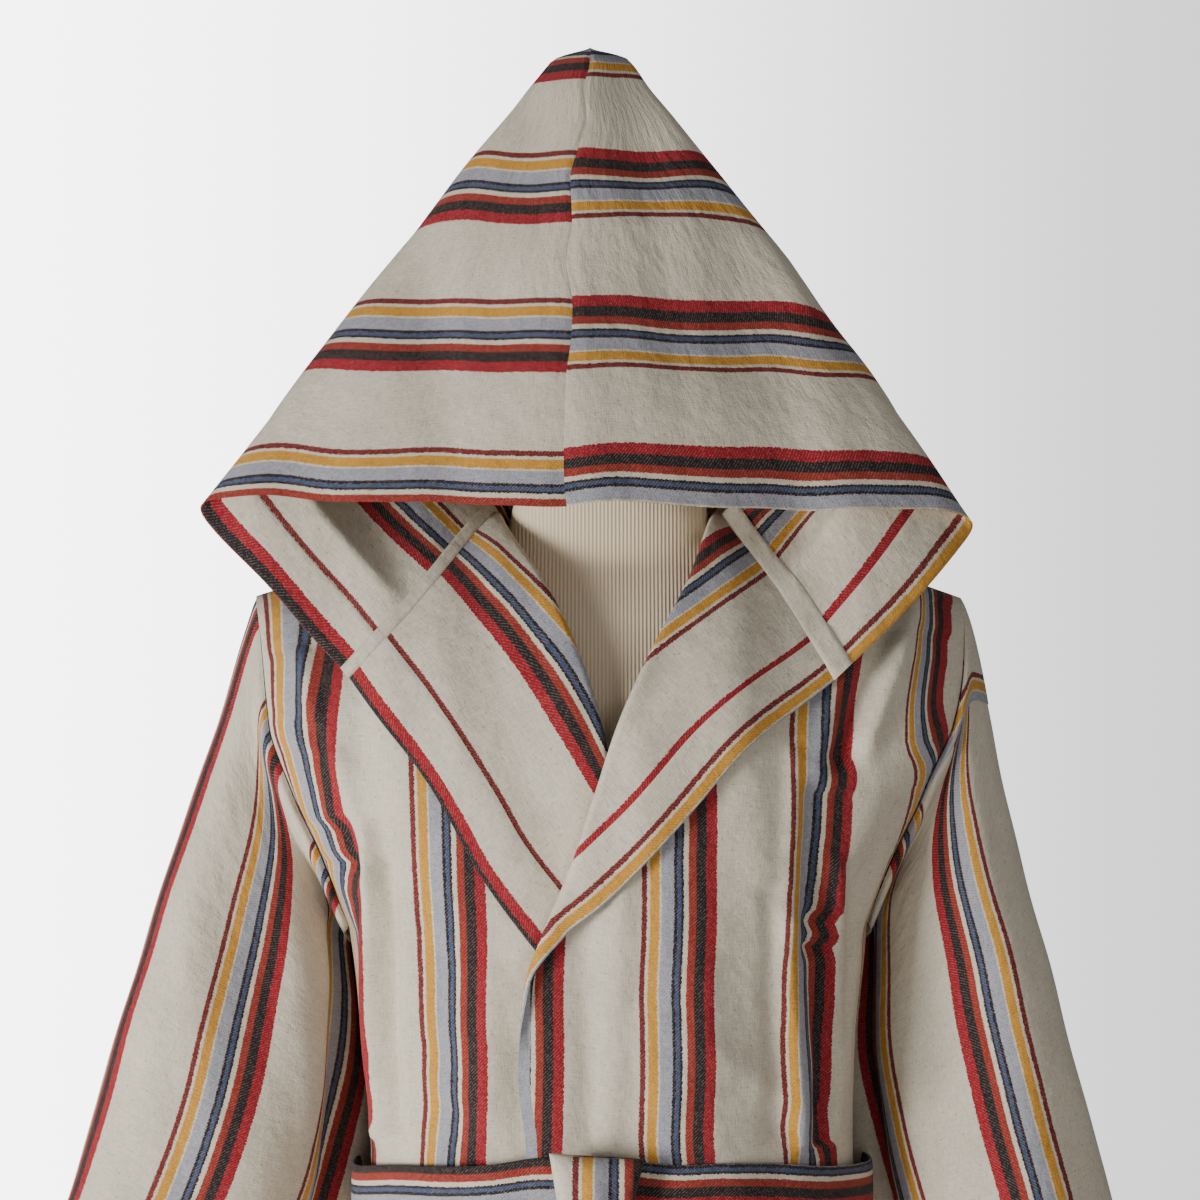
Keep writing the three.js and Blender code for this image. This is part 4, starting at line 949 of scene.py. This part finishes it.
belt["belt_knot"] = doubled("belt_knot_cloth", capped(knot()), face_out=False)

# %% Hanging ends
# x at the knot, x at the end, level of the end, which way the stripes run
TAILS = {"belt_tail_left": (-26, -66, 592, 1), "belt_tail_right": (13, 52, 560, -1)}
for tail_name, (top_x, bottom_x, end, sense) in TAILS.items():
    share = np.linspace(0, 1, 90)
    z = mix(KNOT_Z - 37, end, share)
    x = mix(top_x, bottom_x, ease(share))
    across, thick = band_section(mix(13.0, 27.0, ease(share * 3)))
    lift = 3.2 + 1.7 * thick + 0 * across
    points = front_surface(x[:, None] + across, z[:, None] + 0 * across, lift)
    w = 16 + sense * across
    block = (points, np.stack([w, np.broadcast_to(z[:, None], w.shape)], -1))
    belt[tail_name] = doubled(f"{tail_name}_cloth", capped(block), face_out=False)

# %% [markdown]
# ## Dress form and stand
# A dress form is a stuffed body under ribbed jersey, on a turned pole and base. It could be modelled again
# from primitives. The frame already has these solids in their places, so a copy of each is finished:
# the torso is remeshed and smoothed until it looks stuffed, and the hard parts get a small bevel.


# %% Torso and stand
def carried(node, name):
    """A copy of the frame's node, its loose triangles joined."""
    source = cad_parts[node]
    piece = bpy.data.objects.new(name, source.data.copy())
    bpy.context.collection.objects.link(piece)
    bpy.ops.object.select_all(action="DESELECT")
    piece.select_set(True)
    bpy.context.view_layer.objects.active = piece
    bpy.ops.object.mode_set(mode="EDIT")
    bpy.ops.mesh.select_all(action="SELECT")
    bpy.ops.mesh.remove_doubles(threshold=0.00005)
    bpy.ops.object.mode_set(mode="OBJECT")
    return piece


def apply(piece, kind, **settings):
    step = piece.modifiers.new(kind.lower(), kind)
    for key, value in settings.items():
        setattr(step, key, value)
    bpy.context.view_layer.objects.active = piece
    bpy.ops.object.modifier_apply(modifier=step.name)


torso = carried("form_torso", "jersey_torso")
apply(torso, "REMESH", mode="VOXEL", voxel_size=0.005)
apply(torso, "SMOOTH", factor=0.6, iterations=12)
bpy.ops.object.select_all(action="DESELECT")
torso.select_set(True)
bpy.ops.object.shade_smooth()
print("torso:", len(torso.data.polygons), "faces")

stand = {}
for node in ("form_neck_cap", "hood_post", "form_pole", "form_base"):
    piece = carried(node, f"{node}_finished")
    apply(piece, "BEVEL", width=0.0008, segments=2, limit_method="ANGLE")
    bpy.ops.object.shade_smooth_by_angle(angle=np.radians(35))
    stand[node] = piece
print("stand:", sorted(stand))

# %% [markdown]
# ## Node helpers
# Nodes can be placed and joined by hand in the shader editor. In a script each takes three lines, so a
# small class adds a node, sets it and joins it in one call, and the materials below stay readable.


# %% Node helpers
def srgb(*rgb):
    """A colour seen on screen (0 to 255), as the light it stands for."""
    light = [c / 255 / 12.92 if c <= 10 else ((c / 255 + 0.055) / 1.055) ** 2.4 for c in rgb]
    return (*light, 1.0)


class Graph:
    """Adds nodes to a tree and joins them in one call."""

    def __init__(self, tree):
        self.tree = tree

    def add(self, kind, inputs, **settings):
        node = self.tree.nodes.new(f"ShaderNode{kind}")
        for key, value in settings.items():
            setattr(node, key, value)
        for key, value in inputs.items():
            if hasattr(value, "is_linked"):
                self.tree.links.new(value, node.inputs[key])
            else:
                node.inputs[key].default_value = value
        return node

    def math(self, operation, a, b=0.0, c=0.0):
        return self.add("Math", {0: a, 1: b, 2: c}, operation=operation).outputs[0]

    def blend(self, share, a, b):
        return self.add("Mix", {0: share, 6: a, 7: b}, data_type="RGBA").outputs[2]

    def scaled(self, place, scale):
        return self.add("VectorMath", {0: place, 1: scale}, operation="MULTIPLY").outputs[0]

    def around_zero(self, value, strength):
        """A pattern that runs from 0 to 1, moved to run about 0 and made weaker."""
        return self.math("MULTIPLY", self.math("SUBTRACT", value, 0.5), strength)

    def flat_noise(self, place, scale, detail):
        return self.add("TexNoise", {"Vector": place, "Scale": scale, "Detail": detail},
                        noise_dimensions="2D").outputs[0]


def new_group(name, inputs, outputs):
    tree = bpy.data.node_groups.new(name, "ShaderNodeTree")
    for label, kind in inputs:
        tree.interface.new_socket(label, in_out="INPUT", socket_type=kind)
    for label, kind in outputs:
        tree.interface.new_socket(label, in_out="OUTPUT", socket_type=kind)
    return tree, Graph(tree), tree.nodes.new("NodeGroupInput"), tree.nodes.new("NodeGroupOutput")


print("a mid grey on screen is", round(srgb(128, 128, 128)[0], 3), "in light")

# %% [markdown]
# ## Striped weave
# The cloth is woven with coloured warp bands that repeat every 110 mm on an ecru ground, in a twill whose
# pale weft shows through the colours as slanting specks. A painted image could carry it, but it would
# blur when seen close. One node group works it out from the place on the flat cloth instead: a colour
# ramp with hard steps for the bands, their edges made ragged by a thread's width, and noise drawn
# out along both threads for the slubs. Every piece cut from this cloth uses the group.

# %% Striped weave
ECRU, RUST, BLACK = srgb(208, 199, 180), srgb(146, 40, 30), srgb(18, 16, 22)
STEEL, GRAY, MUSTARD = srgb(58, 76, 108), srgb(158, 161, 171), srgb(204, 146, 48)
CRIMSON, WINE = srgb(152, 6, 32), srgb(112, 24, 26)
# end of each band in millimetres, over one repeat of 110
BANDS = [(3.5, WINE), (6, ECRU), (12.5, MUSTARD), (14, ECRU), (23, GRAY), (25, BLACK), (28, STEEL),
         (30, BLACK), (33.5, ECRU), (39, RUST), (46, BLACK), (54, CRIMSON), (110, ECRU)]
REPEAT, THREADS, TWILL = 0.110, 1100, 0.0026

weave, g, entry, leave = new_group(
    "striped_weave", [("Flat", "NodeSocketVector")],
    [("Color", "NodeSocketColor"), ("Roughness", "NodeSocketFloat"), ("Normal", "NodeSocketVector")])
flat = entry.outputs["Flat"]
parts = g.add("SeparateXYZ", {0: flat})
thread = g.scaled(flat, (THREADS, THREADS, 0))
speck = g.add("TexWhiteNoise", {0: g.add("VectorMath", {0: thread}, operation="FLOOR").outputs[0]},
              noise_dimensions="2D").outputs[0]
ragged = g.math("MULTIPLY_ADD", g.math("SUBTRACT", speck, 0.5), 0.0009, parts.outputs[0])
wander = g.flat_noise(flat, 9.0, 1.0)
ragged = g.math("MULTIPLY_ADD", g.math("SUBTRACT", wander, 0.5), 0.0016, ragged)
share = g.math("FRACT", g.math("DIVIDE", ragged, REPEAT))
ramp = g.add("ValToRGB", {0: share})
ramp.color_ramp.interpolation = "CONSTANT"
stops = ramp.color_ramp.elements
stops[0].color = BANDS[0][1]
stops.remove(stops[1])
for (end, _), (_, colour) in zip(BANDS[:-1], BANDS[1:]):
    stops.new(end * MM / REPEAT).color = colour
pale = g.math("GREATER_THAN", g.add("RGBToBW", {0: ramp.outputs[0]}).outputs[0], 0.4)
# Twill: pale weft threads cross the coloured bands as slanting specks.
slant = g.math("ADD", parts.outputs[0], parts.outputs[1])
ribs = g.math("SINE", g.math("MULTIPLY", slant, 2 * np.pi / TWILL))
weft = g.math("MULTIPLY_ADD", ribs, 0.5, speck)
crossing = g.math("MULTIPLY", g.math("GREATER_THAN", weft, 0.86), g.math("SUBTRACT", 1.0, pale))
colour = g.blend(g.math("MULTIPLY", crossing, 0.2), ramp.outputs[0], srgb(190, 150, 130))
dark = g.math("MULTIPLY", g.math("LESS_THAN", weft, 0.02), g.math("SUBTRACT", 1.0, pale))
colour = g.blend(g.math("MULTIPLY", dark, 0.3), colour, srgb(40, 20, 22))
# Ground: fine slub along both threads, a few darker flecks and slow patches.
slub_across = g.flat_noise(g.scaled(flat, (900, 110, 1)), 1.0, 2.0)
slub_down = g.flat_noise(g.scaled(flat, (90, 800, 1)), 1.0, 2.0)
patch = g.flat_noise(flat, 22.0, 4.0)
shade = g.math("ADD", g.around_zero(slub_across, 0.34), g.around_zero(slub_down, 0.3))
shade = g.math("ADD", shade, g.around_zero(patch, 0.22))
shade = g.math("ADD", shade, g.around_zero(speck, 0.09))
level = g.math("ADD", 0.97, shade)
toned = g.add("VectorMath", {0: colour, 1: g.add("CombineXYZ", {0: level, 1: level, 2: level}).outputs[0]},
              operation="MULTIPLY").outputs[0]
fleck = g.add("TexVoronoi", {"Vector": flat, "Scale": 70.0}, voronoi_dimensions="2D").outputs["Distance"]
toned = g.blend(g.math("MULTIPLY", g.math("LESS_THAN", fleck, 0.055), 0.35), toned, srgb(120, 95, 70))
height = g.math("ADD", g.math("MULTIPLY", slub_across, 0.5), g.math("MULTIPLY", slub_down, 0.5))
height = g.math("ADD", height, g.math("MULTIPLY", speck, 0.35))
crinkle = g.flat_noise(flat, 60.0, 3.0)
fine = g.add("Bump", {"Strength": 0.55, "Distance": 0.0006, "Height": height})
soft = g.add("Bump", {"Strength": 0.5, "Distance": 0.003, "Height": crinkle, "Normal": fine.outputs[0]})
weave.links.new(toned, leave.inputs["Color"])
weave.links.new(g.math("MULTIPLY_ADD", speck, 0.08, 0.86), leave.inputs["Roughness"])
weave.links.new(soft.outputs[0], leave.inputs["Normal"])
print("bands in one repeat:", len(BANDS))


# %% Cotton
def shaded(name, **constants):
    material = bpy.data.materials.new(name)
    material.use_nodes = True
    shader = material.node_tree.nodes["Principled BSDF"]
    for key, value in constants.items():
        shader.inputs[key.replace("_", " ")].default_value = value
    return material, Graph(material.node_tree), shader


def striped(name):
    material, graph, shader = shaded(name, Sheen_Weight=0.06, Sheen_Roughness=0.5)
    uv = graph.add("UVMap", {}, uv_map="flat").outputs[0]
    group = graph.add("Group", {"Flat": uv}, node_tree=weave)
    for socket, target in (("Color", "Base Color"), ("Roughness", "Roughness"), ("Normal", "Normal")):
        graph.tree.links.new(group.outputs[socket], shader.inputs[target])
    return material


cotton, belt_cotton = striped("striped_cotton"), striped("belt_cotton")
print("cotton materials:", cotton.name, belt_cotton.name)

# %% [markdown]
# ## Jersey, wood and steel
# The form's jersey has fine upright ribs, its base is turned wood and its pole is dark steel. Each could be a
# plain colour. A pattern on Object coordinates gives each a little of its own life, and it stays in place
# because the pieces sit at the origin. On the jersey the ribs also darken the colour in their grooves and
# lighten it on their crests, as painted shade.


# %% Jersey, wood and steel
def surface(name, scale, detail, stretch=(1.0, 1.0, 1.0), **constants):
    """A material, its graph and shader, and the noise that its finish is made of."""
    material, graph, shader = shaded(name, **constants)
    place = graph.add("TexCoord", {}).outputs["Object"]
    drawn = graph.scaled(place, stretch)
    noise = graph.add("TexNoise", {"Vector": drawn, "Scale": scale, "Detail": detail}).outputs[0]
    return material, graph, shader, noise


def finish(graph, shader, colour, roughness, height, strength, distance):
    bump = graph.add("Bump", {"Strength": strength, "Distance": distance, "Height": height})
    for socket, value in (("Base Color", colour), ("Roughness", roughness), ("Normal", bump.outputs[0])):
        graph.tree.links.new(value, shader.inputs[socket])


RIB = 0.0028
jersey, g, shader, fuzz = surface("ribbed_jersey", 900.0, 2.0, Sheen_Weight=0.2)
across = g.add("SeparateXYZ", {0: g.add("TexCoord", {}).outputs["Object"]}).outputs[0]
ribs = g.math("SINE", g.math("MULTIPLY", across, 2 * np.pi / RIB))
# painted shade on the ribs: the colour is darker in each groove and lighter on each crest, and the noise adds
# the yarn's own uneven tone
rib_shade_and_tone = g.math("MULTIPLY_ADD", ribs, 0.16, g.math("MULTIPLY_ADD", fuzz, 0.3, 0.35))
finish(g, shader, g.blend(rib_shade_and_tone, srgb(204, 181, 149), srgb(240, 227, 201)),
       g.math("MULTIPLY_ADD", fuzz, 0.1, 0.8), g.math("MULTIPLY_ADD", fuzz, 0.6, ribs), 0.5, 0.0005)

wood, g, shader, grain = surface("turned_wood", 14.0, 8.0, stretch=(1.0, 9.0, 9.0), Coat_Weight=0.2)
finish(g, shader, g.blend(grain, srgb(96, 62, 34), srgb(186, 138, 88)),
       g.math("MULTIPLY_ADD", grain, 0.25, 0.35), grain, 0.2, 0.0005)

steel, g, shader, smudge = surface("dark_steel", 40.0, 5.0, Metallic=0.9)
finish(g, shader, g.blend(smudge, srgb(36, 35, 34), srgb(74, 72, 70)),
       g.math("MULTIPLY_ADD", smudge, 0.3, 0.25), smudge, 0.1, 0.0003)
print("materials:", [m.name for m in bpy.data.materials])

# %% [markdown]
# ## What each piece is
# Every piece stands for a node of the frame and takes its place there: each gets its material and hangs from
# the root, and the node it stands for is hidden.


# %% Pieces
WOODEN = ("form_neck_cap", "form_base")


def finished(piece, node, material):
    piece.data.materials.clear()
    piece.data.materials.append(material)
    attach(piece, "root")
    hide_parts(node)


for name, piece in robe.items():
    finished(piece, name, cotton)
for name, piece in belt.items():
    finished(piece, name, belt_cotton)
finished(torso, "form_torso", jersey)
for name, piece in stand.items():
    slot, material = ("turned_wood", wood) if name in WOODEN else ("dark_steel", steel)
    finished(piece, name, material)

print("dressed:", len(robe) + len(belt) + len(stand) + 1, "pieces")

# %% Sheets
print("sheets:", len(robe) + len(belt))
